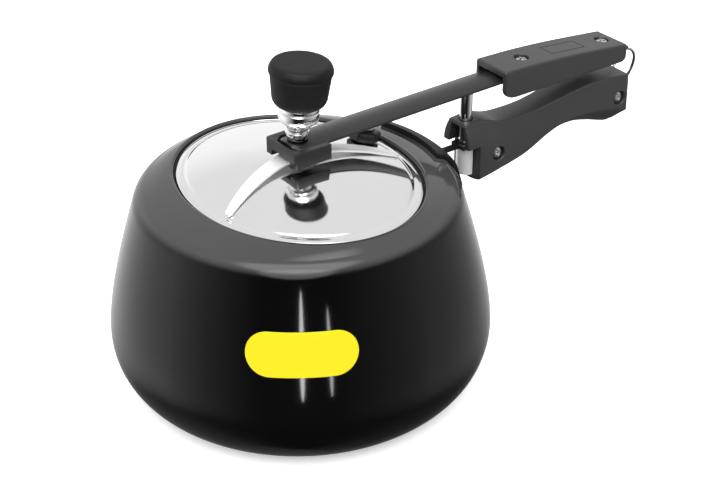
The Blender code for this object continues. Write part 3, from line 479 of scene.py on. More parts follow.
# satin black phenolic moulding: fine pits, grey filler clouding and rubbed patches
phenolic = mottled("bakelite", "bakelite", (grey(0.015), grey(0.026)),
                   [(22.0, 5.0, 0.6, 0.1, {"roughness": 0.6}), (1500.0, 2.0, 0.4, 0.06, {}),
                    (3400.0, 2.0, 0.0, 0.0, {})],
                   0.34, (2, 0.2, 0.00003), Specular_IOR_Level=0.5)
# satin grey-black coated strip: lengthwise rolling lines and a slight mottle
coated = mottled("coated_steel", "coated_steel", (grey(0.006), grey(0.014, 0.0005)),
                 [(900.0, 3.0, 0.5, 0.05, {"roughness": 0.6, "stretch": (0.03, 1.0, 1.0)}),
                  (45.0, 4.0, 0.5, 0.08, {})],
                 0.27, (0, 0.12, 0.00002), Metallic=0.0, Specular_IOR_Level=0.42)
moulded = moulded_black("moulded_black", 0.36, grey(0.006), 0.45)
grip_rubber = moulded_black("grip_black", 0.5, grey(0.0012, 0.0001), 0.28)
# matt black rubber with a dusty bloom
rubber = mottled("gasket_rubber", "gasket_rubber", (grey(0.012), grey(0.026)),
                 [(120.0, 4.0, 1.0, 0.2, {})], 0.6, Specular_IOR_Level=0.3)
# blank yellow printed film under a clear gloss: faint ink mottle and tiny ripples
film = mottled("label_film", "label_film", ((0.5, 0.43, 0.001), (0.54, 0.465, 0.002)),
               [(420.0, 3.0, 1.0, 0.08, {}), (160.0, 2.0, 0.0, 0.0, {})], 0.4, (1, 0.05, 0.00004),
               Coat_Weight=0.1, Coat_Roughness=0.08, Specular_IOR_Level=0.2)

# ---- driving dimensions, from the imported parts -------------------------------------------
pot_high = mm_box("pot_body")[1]
POT_RADIUS = pot_high[0]
MOUTH_TOP = pot_high[2] + 0.2
POT_WIDEST_Z = 34.9
BASE_RADIUS = 73.8
SHOULDER = np.array([86.6, 116.4])
SHOULDER_REACH = 5.4
SIDE_BULGE = 0.28
WALL = 3.0
MOUTH = np.array([62.4, 74.9])
LID_TOP = 131.6
LID_EDGE = np.array([61.3, 73.8])
LID_EDGE_Z = 120.7
BAR_EDGE_Z = 140.4
BAR_CROWN = 2.0
BAR_THICKNESS = 1.6
BAR_HALF = mm_box("lever_bar")[1][1]
BAR_BEND_X = 138.0
BAR_SLOPE = 0.088
POST_X = 116.0


# ---- pot -----------------------------------------------------------------------------------
def side_curve(t, inset=0.0):
    """Side of the pot: radius (1-t^2) R + t^2 S, height the quadratic curve through the bulge."""
    control = POT_WIDEST_Z + SIDE_BULGE * (SHOULDER[1] - POT_WIDEST_Z)
    radius = (1 - t * t) * POT_RADIUS + t * t * SHOULDER[0] - inset
    return radius, (1 - t) ** 2 * POT_WIDEST_Z + 2 * t * (1 - t) * control + t * t * SHOULDER[1]


def side_radius(z):
    """Radius of the side at a height, read off the side curve."""
    t = np.linspace(0, 1, 400)
    radius, height = side_curve(t)
    return np.interp(z, height, radius)


def shoulder_end():
    """Where the shoulder's rounding ends, on the line towards the mouth."""
    mouth = np.array([MOUTH.mean(), MOUTH_TOP])
    inward = (mouth - SHOULDER) / np.linalg.norm(mouth - SHOULDER)
    return SHOULDER + inward * SHOULDER_REACH


def shoulder_rings(reach, drop=0.0, crown=0.5):
    """Rings from the mouth's edge, reach 0, to the shoulder's rounding, reach 1. They run
    straight between the two, raised by crown times sin(pi reach)."""
    end = shoulder_end()
    reach = np.asarray(reach, float)
    z = MOUTH_TOP + (end[1] - MOUTH_TOP) * reach - drop + crown * np.sin(np.pi * np.clip(reach, 0, 1))
    return MOUTH[0] + (end[0] - MOUTH[0]) * reach, MOUTH[1] + (end[0] - MOUTH[1]) * reach, z


def pot_rings():
    """Half-lengths and heights of the pot's rings, from the base's centre up its outside,
    over the mouth's lip and down its inside."""
    foot = np.linspace(0, np.pi / 2, 30)
    parts = [(np.array([0, 20, 45, 62, 66, 68, 70, 72]), np.array([0.7, 0.7, 0.7, 0.7, 0.45, 0.1, 0, 0]))]
    parts.append((BASE_RADIUS + (POT_RADIUS - BASE_RADIUS) * np.sin(foot),
                  POT_WIDEST_Z * (1 - np.cos(foot))))
    parts.append(side_curve(np.linspace(0.02, 0.93, 46)))
    below = np.array(side_curve(0.945))
    bend = np.linspace(0, 1, 14)[:, None]
    corner = (1 - bend) ** 2 * below + 2 * bend * (1 - bend) * SHOULDER + bend ** 2 * shoulder_end()
    parts.append((corner[:, 0], corner[:, 1]))
    a = [radius for radius, _ in parts]
    b = list(a)
    z = [height for _, height in parts]

    def add(row):
        a.append(row[0])
        b.append(row[1])
        z.append(row[2])
    add(shoulder_rings(np.linspace(0.96, 0.1, 22)))
    lip = np.radians(np.linspace(80, 265, 14))
    offset = 1.3 + 1.3 * np.cos(lip)
    add((MOUTH[0] + offset, MOUTH[1] + offset, MOUTH_TOP - 1.35 + 1.3 * np.sin(lip)))
    add(shoulder_rings(np.linspace(0.16, 0.9, 6), WALL))
    inner = side_curve(np.linspace(0.92, 0, 16), WALL)
    add((inner[0], inner[0], inner[1]))
    turn = np.linspace(np.pi / 2, 0, 12)[1:]
    radius = BASE_RADIUS + (POT_RADIUS - BASE_RADIUS - WALL) * np.sin(turn)
    add((radius, radius, POT_WIDEST_Z - (POT_WIDEST_Z - WALL) * np.cos(turn)))
    floor = np.array([40.0, 0.0])
    add((floor, floor, np.full(2, WALL)))
    return np.concatenate(a), np.concatenate(b), np.concatenate(z)


def make_pot():
    piece("pot_shell", rings(*pot_rings()), anodised, "pot", ["pot_body"], sharp=60)


def make_label():
    """Pill outline from middle to edge, laid on the belly: at (u, v) the turn is the middle turn
    plus u over the radius, the height is v, and the film stands proud of the side."""
    middle_turn = math.radians(-124.6)
    middle_z = 74.5
    half_length, half_height = 28.6, 11.8
    straight = half_length - half_height
    t = np.linspace(-np.pi / 2, np.pi / 2, 49)
    run = np.linspace(straight, -straight, 33)[1:-1]
    outline_u = np.concatenate([straight + half_height * np.cos(t), run,
                                -straight - half_height * np.cos(t), -run])
    outline_v = np.concatenate([half_height * np.sin(t), np.full(31, half_height),
                                -half_height * np.sin(t), np.full(31, -half_height)])
    share = np.concatenate([np.linspace(0, 0.985, 14), [0.995, 1.0, 1.0, 0.99], np.linspace(0.9, 0, 8)])
    proud = np.concatenate([np.full(14, 0.5), [0.44, 0.34, 0.2, 0.12], np.full(8, 0.12)])
    u, v = share[:, None] * outline_u, share[:, None] * outline_v
    z = middle_z + v * 0.985
    radius = side_radius(z) + proud[:, None]
    turn = middle_turn + u / radius
    grid = np.stack([radius * np.cos(turn), radius * np.sin(turn), z], axis=-1)
    piece("label_pill", grid, film, "pot", ["front_label"])


# ---- lid -----------------------------------------------------------------------------------
def dome_height(x, y):
    """Upper side of the lid: top minus the fall times the squared share of the way to the edge."""
    return LID_TOP - (LID_TOP - LID_EDGE_Z) * ((x / LID_EDGE[0]) ** 2 + (y / LID_EDGE[1]) ** 2)


def make_lid():
    """Dome rings by share of the way out, with a pressed groove near the edge:
    height = top - fall share^2 - depth exp(-((share - place) / width)^2)."""
    share = np.concatenate([np.linspace(0.075, 0.86, 40), np.linspace(0.87, 0.985, 34)])
    groove = 0.55 * np.exp(-((share - 0.93) / 0.02) ** 2)
    z = LID_TOP - (LID_TOP - LID_EDGE_Z) * share ** 2 - groove
    a, b = [LID_EDGE[0] * share], [LID_EDGE[1] * share]
    heights = [z]
    rim = rounded_path([(-2.0, 1.35), (-1.1, 1.8), (-0.8, 3.6), (-0.6, 6.1)], [0, 0.7, 0.5, 0])
    a.append(MOUTH[0] + rim[:, 0])
    b.append(MOUTH[1] + rim[:, 0])
    heights.append(MOUTH_TOP - rim[:, 1])
    for reach, drop in ((0.02, 6.2), (0.4, 6.2), (0.42, 6.5), (0.42, 9.9), (0.4, 10.2), (0.34, 10.2),
                        (0.32, 9.9), (0.32, 8.1)):
        row = shoulder_rings(np.array([reach]), drop, 0.0)
        a.append(row[0])
        b.append(row[1])
        heights.append(row[2])
    a.append(np.array([MOUTH[0] - 2.6]))
    b.append(np.array([MOUTH[1] - 2.6]))
    heights.append(np.array([MOUTH_TOP - 8.0]))
    under = np.linspace(0.95, 0.075, 24)
    a.append(LID_EDGE[0] * under)
    b.append(LID_EDGE[1] * under)
    heights.append(LID_TOP - (LID_TOP - LID_EDGE_Z) * under ** 2 - 2.0)
    grid = rings(np.concatenate(a), np.concatenate(b), np.concatenate(heights))
    piece("lid_dome", grid, steel, "lid", ["lid"], ring=True, sharp=50)


def make_gasket():
    """Rubber ring under the rim, with a lip that fills the line between lid and mouth."""
    section = rounded_path([(-0.25, 1.9), (-0.25, 3.5), (1.4, 3.9), (6.6, 5.4), (6.6, 7.6), (1.4, 6.0),
                            (-0.5, 5.4), (-0.72, 1.9)], 0.25, closed=True)
    grid = rings(MOUTH[0] + section[:, 0], MOUTH[1] + section[:, 0] * 0.75, MOUTH_TOP - section[:, 1])
    piece("gasket_ring", grid, rubber, "lid", ["lid_gasket"], ring=True)


def make_vent():
    """Vent tube, jam nut and the stepped collar that shows above the bar."""
    tube_profile = rounded_path([(1.4, 119.5), (4.4, 119.5), (4.4, 125.6), (8.0, 126.2), (8.0, 129.2),
                                 (4.4, 129.2), (4.4, 150.2), (2.9, 151.0), (2.9, 158.0), (1.4, 158.0)], 0.3)
    piece("vent_pipe", turned(tube_profile, steps=64), chrome, "lid", ["vent_tube"], ring=True)
    piece("vent_jam_nut", prism(hexagon(6.6, 0.5), [(0.7, 131.9), (0.95, 131.9), (1, 132.3), (1, 133.5),
                                                    (0.94, 134.0), (0.7, 134.0)]),
          zinc, "lid", ["vent_nut"], ring=True)
    collar = rounded_path([(4.7, 144.9), (5.9, 144.9), (6.0, 147.0), (6.5, 147.2), (6.5, 149.0),
                           (5.7, 149.3), (5.7, 150.0), (4.7, 150.0)], 0.22)
    piece("collar", turned(collar, steps=72), chrome, "lid", ["vent_collar"], ring=True)


def make_spring():
    """Bow spring: for t from -1 to 1 the middle line is (L t, -B t^2, tip + rise (1 - |t|^1.7));
    the half-width narrows as 1 - 0.62 t^2 with a pad at the middle, and closes round at the tips."""
    t = np.concatenate([-1 + 0.03 * (1 - np.cos(np.linspace(0, np.pi / 2, 8)))[:-1],
                        np.linspace(-0.97, 0.97, 121),
                        1 - 0.03 * (1 - np.cos(np.linspace(np.pi / 2, 0, 8)))[1:]])
    length, bow, centre_z, thick = 55.0, 16.0, 134.5, 1.2
    tip_z = dome_height(length, -bow) + 0.6
    x, y = length * t, -bow * t * t
    z = tip_z + (centre_z - tip_z) * (1 - np.abs(t) ** 1.7)
    half = 4.9 * (1 - 0.62 * t * t) + 2.4 * np.exp(-(t / 0.12) ** 2)
    tip = np.clip((np.abs(t) - 0.97) / 0.03, 0, 1)
    half = half * np.sqrt(np.maximum(1 - tip ** 2, 0.0006))
    direction = np.stack([2 * bow * t / length, np.ones_like(t)], axis=1)
    direction /= np.linalg.norm(direction, axis=1, keepdims=True)
    section = rounded_path([(-1, 0), (1, 0), (1, 1), (-1, 1)], 0.04, closed=True)
    across = section[:, 0][None, :] * half[:, None]
    dish = 0.35 * (section[:, 0] ** 2)[None, :] * np.clip(np.abs(t) / 0.3, 0, 1)[:, None]
    grid = np.stack([x[:, None] + across * direction[:, :1], y[:, None] + across * direction[:, 1:],
                     z[:, None] + section[:, 1][None, :] * thick - dish + 0.35 * (dish > 0)], axis=-1)
    spring = piece("bow_spring", grid, spring_steel, "lid", ["leaf_spring"], sharp=30)
    carve(spring, [drill((0, 0, 130), (0, 0, 140), 5.0)])


def valve_frame():
    """Foot of the safety valve on the dome, and the dome's normal there."""
    x, y = 49.5, 8.5
    fall = LID_TOP - LID_EDGE_Z
    normal = np.array([2 * fall * x / LID_EDGE[0] ** 2, 2 * fall * y / LID_EDGE[1] ** 2, 1.0])
    return np.array([x, y, dome_height(x, y)]), normal / np.linalg.norm(normal)


def make_safety_valve():
    foot, up = valve_frame()
    body = [(0.88, 0.6), (0.97, 0.7), (1, 1.1), (1, 5.4), (0.93, 6.2), (0.8, 6.6), (0.6, 6.6)]
    piece("valve_hexagon", prism(hexagon(9.2, 1.0), body, foot, up), moulded, "lid", ["safety_valve_body"])
    plug = rounded_path([(0, -7.8), (4.0, -7.8), (4.0, 6.9), (5.3, 6.9), (5.3, 8.3), (3.6, 9.3), (0, 9.3)],
                        0.4)
    cap = piece("valve_plug", turned(plug, foot, up, 48), chrome, "lid", ["safety_valve_plug"])
    across, over, along = frame_along(up)
    slots = []
    for arm in (across, over):
        middle, side = foot + along * 9.5, np.cross(along, arm)
        corners = [middle + arm * 3.2 * s + side * 0.55 * w for s, w in ((-1, -1), (1, -1), (1, 1), (-1, 1))]
        slots.append(np.array([corners, [corner - along * 1.3 for corner in corners]]))
    carve(cap, slots)


# ---- pressure weight -------------------------------------------------------------------------
def make_weight():
    """Barrel and grip, turned about an axis that leans a little, as the weight sits loose."""
    lean, toward = math.radians(3.7), math.radians(-37)
    axis = np.array([math.sin(lean) * math.cos(toward), math.sin(lean) * math.sin(toward), math.cos(lean)])
    foot = np.array([0.4, -0.3, 150.9]) - axis * 150.9
    top = 187.85
    grip = rounded_path([(0, top), (13.9, top), (15.6, top - 0.6), (17.05, top - 3.3), (17.0, top - 5.6),
                         (16.45, top - 6.1), (16.2, top - 7.2), (15.2, top - 15.5), (14.7, top - 20.4),
                         (13.2, top - 23.0), (10.6, top - 23.7), (8.3, top - 23.7), (8.3, top - 17.5),
                         (0, top - 17.5)],
                        [0, 1.2, 1.2, 1.3, 0.35, 0.25, 0.5, 2.0, 1.6, 1.2, 0.5, 0.3, 0.3, 0])
    piece("weight_grip", turned(grip, foot, axis, 128), grip_rubber, "weight", ["weight_cap"])
    body = rounded_path([(0, 170), (8.0, 170), (8.0, 164.0), (10.4, 163.9), (10.9, 163.5), (10.9, 161.6),
                         (10.45, 161.3), (10.45, 160.9), (10.9, 160.6), (10.9, 157.3), (10.55, 157.1),
                         (10.55, 156.8), (10.8, 156.6), (10.3, 155.3), (9.0, 154.3), (7.0, 153.6),
                         (6.7, 152.9), (6.7, 151.9), (6.2, 150.95), (4.4, 150.95), (4.4, 160.5),
                         (2.3, 160.5), (2.3, 166.3),
                         (0, 166.3)], 0.22)
    piece("weight_barrel", turned(body, foot, axis, 128), chrome, "weight", ["weight_body"])


# ---- lever -----------------------------------------------------------------------------------
def bar_drop(x):
    """How far the bar has bent down at x: the slope times the way past the bend."""
    return np.maximum(0.0, x - BAR_BEND_X) * BAR_SLOPE


def make_bar():
    """Crowned strip: at (x, y) the middle of its thickness is the edge height minus the drop plus
    crown (1 - (y / half)^2). The section is a rounded slot bent over that crown."""
    low, high = mm_box("lever_bar")
    x = np.concatenate([np.linspace(low[0], low[0] + 3.9, 9), np.linspace(low[0] + 5, high[0], 90)])
    half = np.interp(x, [low[0], low[0] + 3.9], [5.6, BAR_HALF])
    side = np.linspace(-1, 1, 41)
    lip = np.radians(np.linspace(90, -90, 9)[1:-1])
    radius = BAR_THICKNESS / 2
    unit = np.concatenate([side, np.full(7, 1.0), side[::-1], np.full(7, -1.0)])
    lift = np.concatenate([np.full(41, 1.0), np.sin(lip), np.full(41, -1.0), -np.sin(lip)])
    out = np.concatenate([np.zeros(41), np.cos(lip), np.zeros(41), -np.cos(lip)])
    y = unit[None, :] * (half - radius)[:, None] + radius * out[None, :]
    z = (BAR_EDGE_Z - bar_drop(x)[:, None] + radius + radius * lift[None, :]
         + BAR_CROWN * (1 - np.minimum(1, np.abs(y) / BAR_HALF) ** 2))
    bar = piece("bar_strip", np.stack([x[:, None] + 0 * y, y, z], axis=-1), coated, "lever", ["lever_bar"])
    carve(bar, [drill((0, 0, 135), (0, 0, 150), 5.6)])


def make_guide():
    """Moulded tray round the bar's end: an outline with cut corners, stacked in layers, with the
    bar's seat, the spring's slot and the vent's hole taken out."""
    low, high = mm_box("bar_guide")
    cut = 1.0
    corners = [(low[0] + cut, low[1]), (high[0], low[1]), (high[0], high[1]), (low[0] + cut, high[1]),
               (low[0], high[1] - cut), (low[0], low[1] + cut)]
    outline = rounded_path(corners, 0.4, closed=True)
    layers = []
    for height, inset in ((low[2], 0.3), (low[2] + 0.1, 0.1), (low[2] + 0.3, 0), (high[2] - 0.3, 0),
                          (high[2] - 0.1, 0.1), (high[2], 0.3)):
        scale = 1 - inset / high[1]
        layers.append(np.column_stack([outline * scale, np.full(len(outline), height)]))
    guide = piece("guide_tray", np.array(layers), moulded, "lever", ["bar_guide"])
    seat = []
    for x, width in ((-8.6, 6.3), (-3.9, BAR_HALF + 0.7), (high[0] + 2, BAR_HALF + 0.7)):
        seat.append([(x, -width, BAR_EDGE_Z - 0.3), (x, width, BAR_EDGE_Z - 0.3), (x, width, 150),
                     (x, -width, 150)])
    carve(guide, [np.array(seat, float), block((low[0] - 1, -8.2, 130), (high[0] + 1, 8.2, 137.6)),
                  drill((0, 0, 130), (0, 0, 150), 5.6)], edge=0.25)


LID_HANDLE_TOP = [(134, 148.9), (146, 148.5), (159, 147.9), (175, 146.8), (190.4, 145.4), (207, 143.6),
                  (230, 141.0)]
LID_HANDLE_BOTTOM = [(133, 138.6), (133.6, 136.4), (135.0, 134.2), (137.2, 132.6), (140.5, 131.6),
                     (150, 131.3), (175, 131.0), (215, 130.4), (226, 130.3), (227.6, 130.8),
                     (228.8, 131.9), (230, 134.2)]


LID_SCREWS_X = (156.4, 220.3)
LOOP_BAR = (232.3, 135.0)


def countersink(x, z, radius, depth, tilt=0.0):
    """Grid of a screw's recess from above: a cylinder with a small chamfer at its mouth."""
    profile = [(radius, -depth), (radius, -0.35), (radius + 0.4, 0.05), (radius + 0.4, 4.0)]
    return turned(profile, (x, 0, z), (tilt, 0, 1), 56)


def make_lid_handle():
    """Cover over the bar: a rounded bar whose top and lower edges follow two curves, hollowed
    below, with two screw recesses and a plain pressed frame on top."""
    low, high = mm_box("lid_handle")
    half = high[1]
    rear = 229.6
    x = stations(low[0], rear, 110, 1.1)
    grid = moulding(x, smooth_curve(LID_HANDLE_TOP, x), smooth_curve(LID_HANDLE_BOTTOM, x), half + 0 * x,
                    1.3, 0.9, 1.1)
    cover = piece("handle_cover", grid, phenolic, "lever", ["lid_handle"])
    wall = half - 2.5
    roof = BAR_EDGE_Z + BAR_CROWN + BAR_THICKNESS + 0.3
    channel = []
    for place in (120.0, BAR_BEND_X, 226.4):
        height = roof - bar_drop(place)
        channel.append([(place, -wall, 120), (place, wall, 120), (place, wall, height),
                        (place, -wall, height)])
    cutters = [np.array(channel, float), block((130, -wall, 120), (137.2, wall, 145.4))]
    for x_screw in LID_SCREWS_X:
        tilt = 0.045 if x_screw < 180 else 0.11
        cutters.append(countersink(x_screw, smooth_curve(LID_HANDLE_TOP, x_screw), 4.35, 1.9, tilt))
    carve(cover, cutters)
    carve(cover, pressed_frame(cover), sharp=30)
    bar_x, bar_z = LOOP_BAR
    for name, z_low, z_high, reach, width in (("catch_roof", bar_z + 1.45, bar_z + 3.0, 1.2, 10.2),
                                              ("catch_ledge", bar_z - 3.6, bar_z - 1.7, 0.6, 4.0)):
        lip_x = stations(rear - 1.5, bar_x + reach, 10, 0.5)
        lip = moulding(lip_x, z_high + 0 * lip_x, z_low + 0 * lip_x, width + 0 * lip_x, 0.5, 0.5, 0.5)
        piece(name, lip, phenolic, "lever")


def pressed_frame(cover):
    """Four thin bars to press a plain rectangle outline into the cover's top."""
    x0, x1, half, width, depth = 175.5, 201.5, 4.9, 0.55, 0.35
    bars = []
    for low_x, high_x, low_y, high_y in ((x0, x1, -half - width, -half), (x0, x1, half, half + width),
                                         (x0, x0 + width, -half, half), (x1 - width, x1, -half, half)):
        rows = []
        for x in np.linspace(low_x, high_x, 8 if high_x - low_x > 2 else 2):
            z = float(smooth_curve(LID_HANDLE_TOP, x))
            rows.append([(x, low_y, z - depth), (x, high_y, z - depth), (x, high_y, z + 1),
                         (x, low_y, z + 1)])
        bars.append(np.array(rows, float))
    return bars


def screw_head(name, foot, axis, shank, replaced, body, radius=3.85):
    """Pan-head screw: a turned head with a cross driven in, on its shank."""
    profile = rounded_path([(0, 1.75), (2.3, 1.7), (radius - 0.15, 1.0), (radius, 0.0), (1.9, 0.0),
                            (1.9, -shank), (0, -shank)], [0, 0.8, 0.5, 0.15, 0.1, 0.2, 0])
    screw = piece(name, turned(profile, foot, axis, 56), zinc, body, [replaced])
    across, over, along = frame_along(axis)
    middle = np.asarray(foot, float) + along * 2.2
    slots = []
    for turn in (0.5, 0.5 + np.pi / 2):
        arm = np.cos(turn) * across + np.sin(turn) * over
        side = np.cross(along, arm)
        corners = [middle + arm * 2.5 * s + side * 0.48 * w for s, w in ((-1, -1), (1, -1), (1, 1), (-1, 1))]
        slots.append(np.array([corners, [corner - along * 1.6 for corner in corners]]))
    return carve(screw, slots)


def make_lid_handle_screws():
    for label, x in zip(("front", "rear"), LID_SCREWS_X):
        seat = BAR_EDGE_Z + BAR_CROWN + BAR_THICKNESS + 0.3 - float(bar_drop(x)) + 2.9
        screw_head("cover_screw_" + label, (x, 0, seat - 0.1), (0, 0, 1), 9.0,
                   "lid_handle_screw_" + label, "lever")


# ---- body handle -----------------------------------------------------------------------------
BODY_HANDLE_TOP = [(109.3, 120.5), (122.0, 120.8), (127.5, 119.6), (133.8, 117.4), (140.0, 116.3),
                   (150.0, 115.8), (163.0, 116.1), (175.0, 117.5), (187.0, 119.4), (198.0, 121.0),
                   (208.0, 121.8), (220.0, 121.3), (235.4, 119.4)]
BODY_HANDLE_TOP_HALF = [(109.3, 7.6), (122.0, 8.2), (135.0, 8.5), (163.0, 8.5), (187.0, 9.4), (208.0, 10.6),
                        (235.4, 11.0)]
BODY_HANDLE_WAIST = [(109.3, 106.5), (122.0, 104.5), (150.0, 91.0), (235.4, 91.0)]
BODY_HANDLE_EDGE = [(107.4, 84.6), (117.0, 85.6), (133.6, 88.2), (153.4, 92.4), (169.6, 99.2),
                    (180.7, 102.6), (191.5, 103.6), (204.0, 103.0), (218.0, 101.0), (230.2, 97.4),
                    (235.4, 95.8)]
BODY_HANDLE_BELLY = [(107.4, 2.0), (150.0, 2.5), (168.0, 3.4), (184.0, 5.6), (196.0, 6.9), (209.0, 9.2),
                     (219.0, 10.9), (226.0, 10.6), (231.0, 7.4), (235.4, 3.2)]
BODY_SCREWS = (("front", 132.4, 98.2), ("rear", 228.1, 105.8))
GUARD_X = 117.3
GUARD_RADIUS = 5.9


def grip_sections(x, half):
    """Sections of the grip along X. The top is crowned and its corner is an arc; below it the side
    widens by 1 - (1 - t)^2 down to the waist and drops to the crease, and the belly closes it with
    an arc that starts at an angle to the side. The ends are drawn in like a moulding's."""
    distance = np.minimum(np.minimum(x - x[0], x[-1] - x), 1.2)
    shrink = (1.2 - np.sqrt(np.maximum(1.44 - (1.2 - distance) ** 2, 0)))[:, None]
    top, narrow, waist, edge, belly = (
        smooth_curve(curve, x)[:, None] for curve in (
            BODY_HANDLE_TOP, BODY_HANDLE_TOP_HALF, BODY_HANDLE_WAIST, BODY_HANDLE_EDGE, BODY_HANDLE_BELLY))
    top, narrow, side = top - shrink, narrow - shrink, half - shrink
    edge, belly = edge + shrink * 0.5, np.maximum(belly - shrink * 0.5, 0.5)
    waist = np.maximum(waist, edge + 1.2)
    share = np.linspace(0, 1, 11)[None, :-1]
    t = np.linspace(0, np.pi / 2, 9)[None, :]
    fall = np.linspace(0, 1, 15)[None, 1:]
    rise, run = creased_arc(0.6, 17)
    y = np.concatenate([(narrow - 1.1) * share, narrow - 1.1 + 1.1 * np.sin(t),
                        narrow + (side - narrow) * (1 - (1 - fall) ** 2), side - side * 0.97 * run], axis=1)
    z = np.concatenate([top + 0.4 * (1 - share ** 2), top - 1.1 + 1.1 * np.cos(t),
                        top - 1.1 + (waist - top + 1.1) * fall, edge - belly * rise], axis=1)
    y = np.concatenate([y, -y[:, :0:-1]], axis=1)
    z = np.concatenate([z, z[:, :0:-1]], axis=1)
    return np.stack([x[:, None] + 0 * y, y, z], axis=-1)


def make_body_handle():
    """Grip under the lever, opened at the front for the post, the guard and the bracket's arm, and
    slotted behind for the loop."""
    low, high = mm_box("body_handle")
    half = high[1]
    x = stations(low[0], high[0], 120, 1.2)
    grip = piece("grip_moulding", grip_sections(x, half), phenolic, "pot", ["body_handle"], sharp=25)
    channel = [[(x_cut, -9.6, 105.0), (x_cut, 6.6, 105.0), (x_cut, 4.4, 118.9), (x_cut, -6.0, 118.9)]
               for x_cut in (100.0, 124.0)]
    cutters = [np.array(channel), block((100, -20, 70), (GUARD_X + 0.9, 20, 106.8)),
               block((100, -5.8, 93.5), (141.3, 5.8, 106.8)), drill((116, 0, 110), (116, 0, 130), 4.2)]
    for _, x_screw, z_screw in BODY_SCREWS:
        for side in (-1, 1):
            profile = [(4.4, -3.2), (4.4, -0.35), (4.8, 0.05), (4.8, 3.0)]
            cutters.append(turned(profile, (x_screw, side * half, z_screw), (0, side, 0), 56))
    for side in (-1, 1):
        y_low, y_high = sorted((side * 4.0, side * 7.0))
        cutters.append(block((223.4, y_low, 80), (245, y_high, 116.5)))
    carve(grip, cutters, sharp=25)


def make_body_screws():
    half = mm_box("body_handle")[1][1]
    for label, x, z in BODY_SCREWS:
        screw_head("grip_screw_" + label, (x, -half + 2.85, z), (0, -1, 0), 2 * half - 5.0,
                   "body_handle_screw_" + label, "pot", 3.8)


# ---- bracket, guard and post -------------------------------------------------------------------
def make_bracket():
    """Saddle on the shoulder: the side's and the shoulder's curve, moved out along its normal by
    the gap and the thickness, carried round the pot, with its ends drawn in."""
    thick = 2.4
    lower = np.array(side_curve(np.linspace(0.84, 0.93, 8))).T
    bend = np.linspace(0, 1, 12)[:, None]
    corner = ((1 - bend) ** 2 * np.array(side_curve(0.945)) + 2 * bend * (1 - bend) * SHOULDER
              + bend ** 2 * shoulder_end())
    end = shoulder_end()
    path = np.concatenate([lower, corner, [end + (-3.4, 0.9)]])
    along = np.gradient(path, axis=0)
    normal = np.stack([along[:, 1], -along[:, 0]], axis=1)
    normal /= np.linalg.norm(normal, axis=1, keepdims=True)
    inner, outer = path + normal * 0.5, path + normal * (0.5 + thick)
    section = np.concatenate([inner, outer[::-1]])
    middle = section.mean(axis=0)
    turns = np.radians(stations(-18.5, 18.5, 36, 0.7))
    edge = np.clip((np.radians(18.5) - np.abs(turns)) / np.radians(0.7), 0, 1)
    pull = 1 - 0.1 * (1 - np.sqrt(np.maximum(1 - (1 - edge) ** 2, 0)))
    shrunk = middle + (section - middle) * pull[:, None, None]
    grid = np.stack([shrunk[..., 0] * np.cos(turns)[:, None], shrunk[..., 0] * np.sin(turns)[:, None],
                     shrunk[..., 1]], axis=-1)
    piece("saddle", grid, saddle_black, "pot", ["handle_bracket"])
    x = stations(92.6, 111.0, 16, 0.3)
    neck = moulding(x, 106.5 + 0 * x, 104.0 + 0 * x, 1.9 + 0 * x, 0.6, 0.6, 0.3)
    piece("saddle_neck", neck, saddle_black, "pot")
    x = stations(110.4, 141.0, 24, 0.4)
    arm = moulding(x, 106.4 + 0 * x, 103.9 + 0 * x, 5.5 + 0 * x, 0.6, 0.6, 0.4)
    carve(piece("saddle_arm", arm, coated, "pot"), [drill((116, 0, 100), (116, 0, 110), 2.2)])
    for side in (-1, 1):
        x = stations(119.0, 141.0, 12, 0.3)
        cheek = moulding(x, 104.2 + 0 * x, 93.8 + 0 * x, 0.95 + 0 * x, 0.3, 0.3, 0.3)
        cheek[..., 1] += side * 4.55
        carve(piece("saddle_cheek_%s" % ("near" if side < 0 else "far"), cheek, coated, "pot"),
              [drill((132.4, -20, 98.2), (132.4, 20, 98.2), 2.2)])


def make_rivets():
    """Domed rivet heads on the saddle, with their closed ends inside the pot."""
    place, turn_size = 0.91, math.radians(12)
    low, high = np.array(side_curve(place - 0.05)), np.array(side_curve(place + 0.05))
    along = (high - low) / np.linalg.norm(high - low)
    radius, z = side_curve(place)
    outer, inner = 3.6, -3.6
    profile = rounded_path([(0, outer + 1.8), (2.6, outer + 1.4), (4.2, outer), (2.2, outer), (2.2, inner),
                            (3.8, inner), (2.4, inner - 1.3), (0, inner - 1.6)],
                           [0, 1, 0.3, 0.1, 0.1, 0.3, 0.6, 0])
    for name, turn in (("bracket_rivet_near", -turn_size), ("bracket_rivet_far", turn_size)):
        foot = (radius * math.cos(turn), radius * math.sin(turn), z)
        axis = (along[1] * math.cos(turn), along[1] * math.sin(turn), -along[0])
        piece(name + "_head", turned(profile, foot, axis, 48), zinc, "pot", [name])


def make_guard():
    """Half-round guard: an arc with thickness, t from -90 to 90 degrees, carried up in Z."""
    low, high = mm_box("flame_guard")
    t = np.radians(np.linspace(-90, 90, 49))
    outer = np.stack([GUARD_X - GUARD_RADIUS * np.cos(t), GUARD_RADIUS * np.sin(t)], axis=1)
    inner = np.stack([GUARD_X - (GUARD_RADIUS - 1) * np.cos(t), (GUARD_RADIUS - 1) * np.sin(t)], axis=1)[::-1]
    outline = np.concatenate([outer, inner])
    heights = stations(low[2], high[2], 12, 0.4)
    grid = np.stack([np.column_stack([outline, np.full(len(outline), z)]) for z in heights])
    piece("guard_sleeve", grid, sleeve_chrome, "pot", ["flame_guard"])


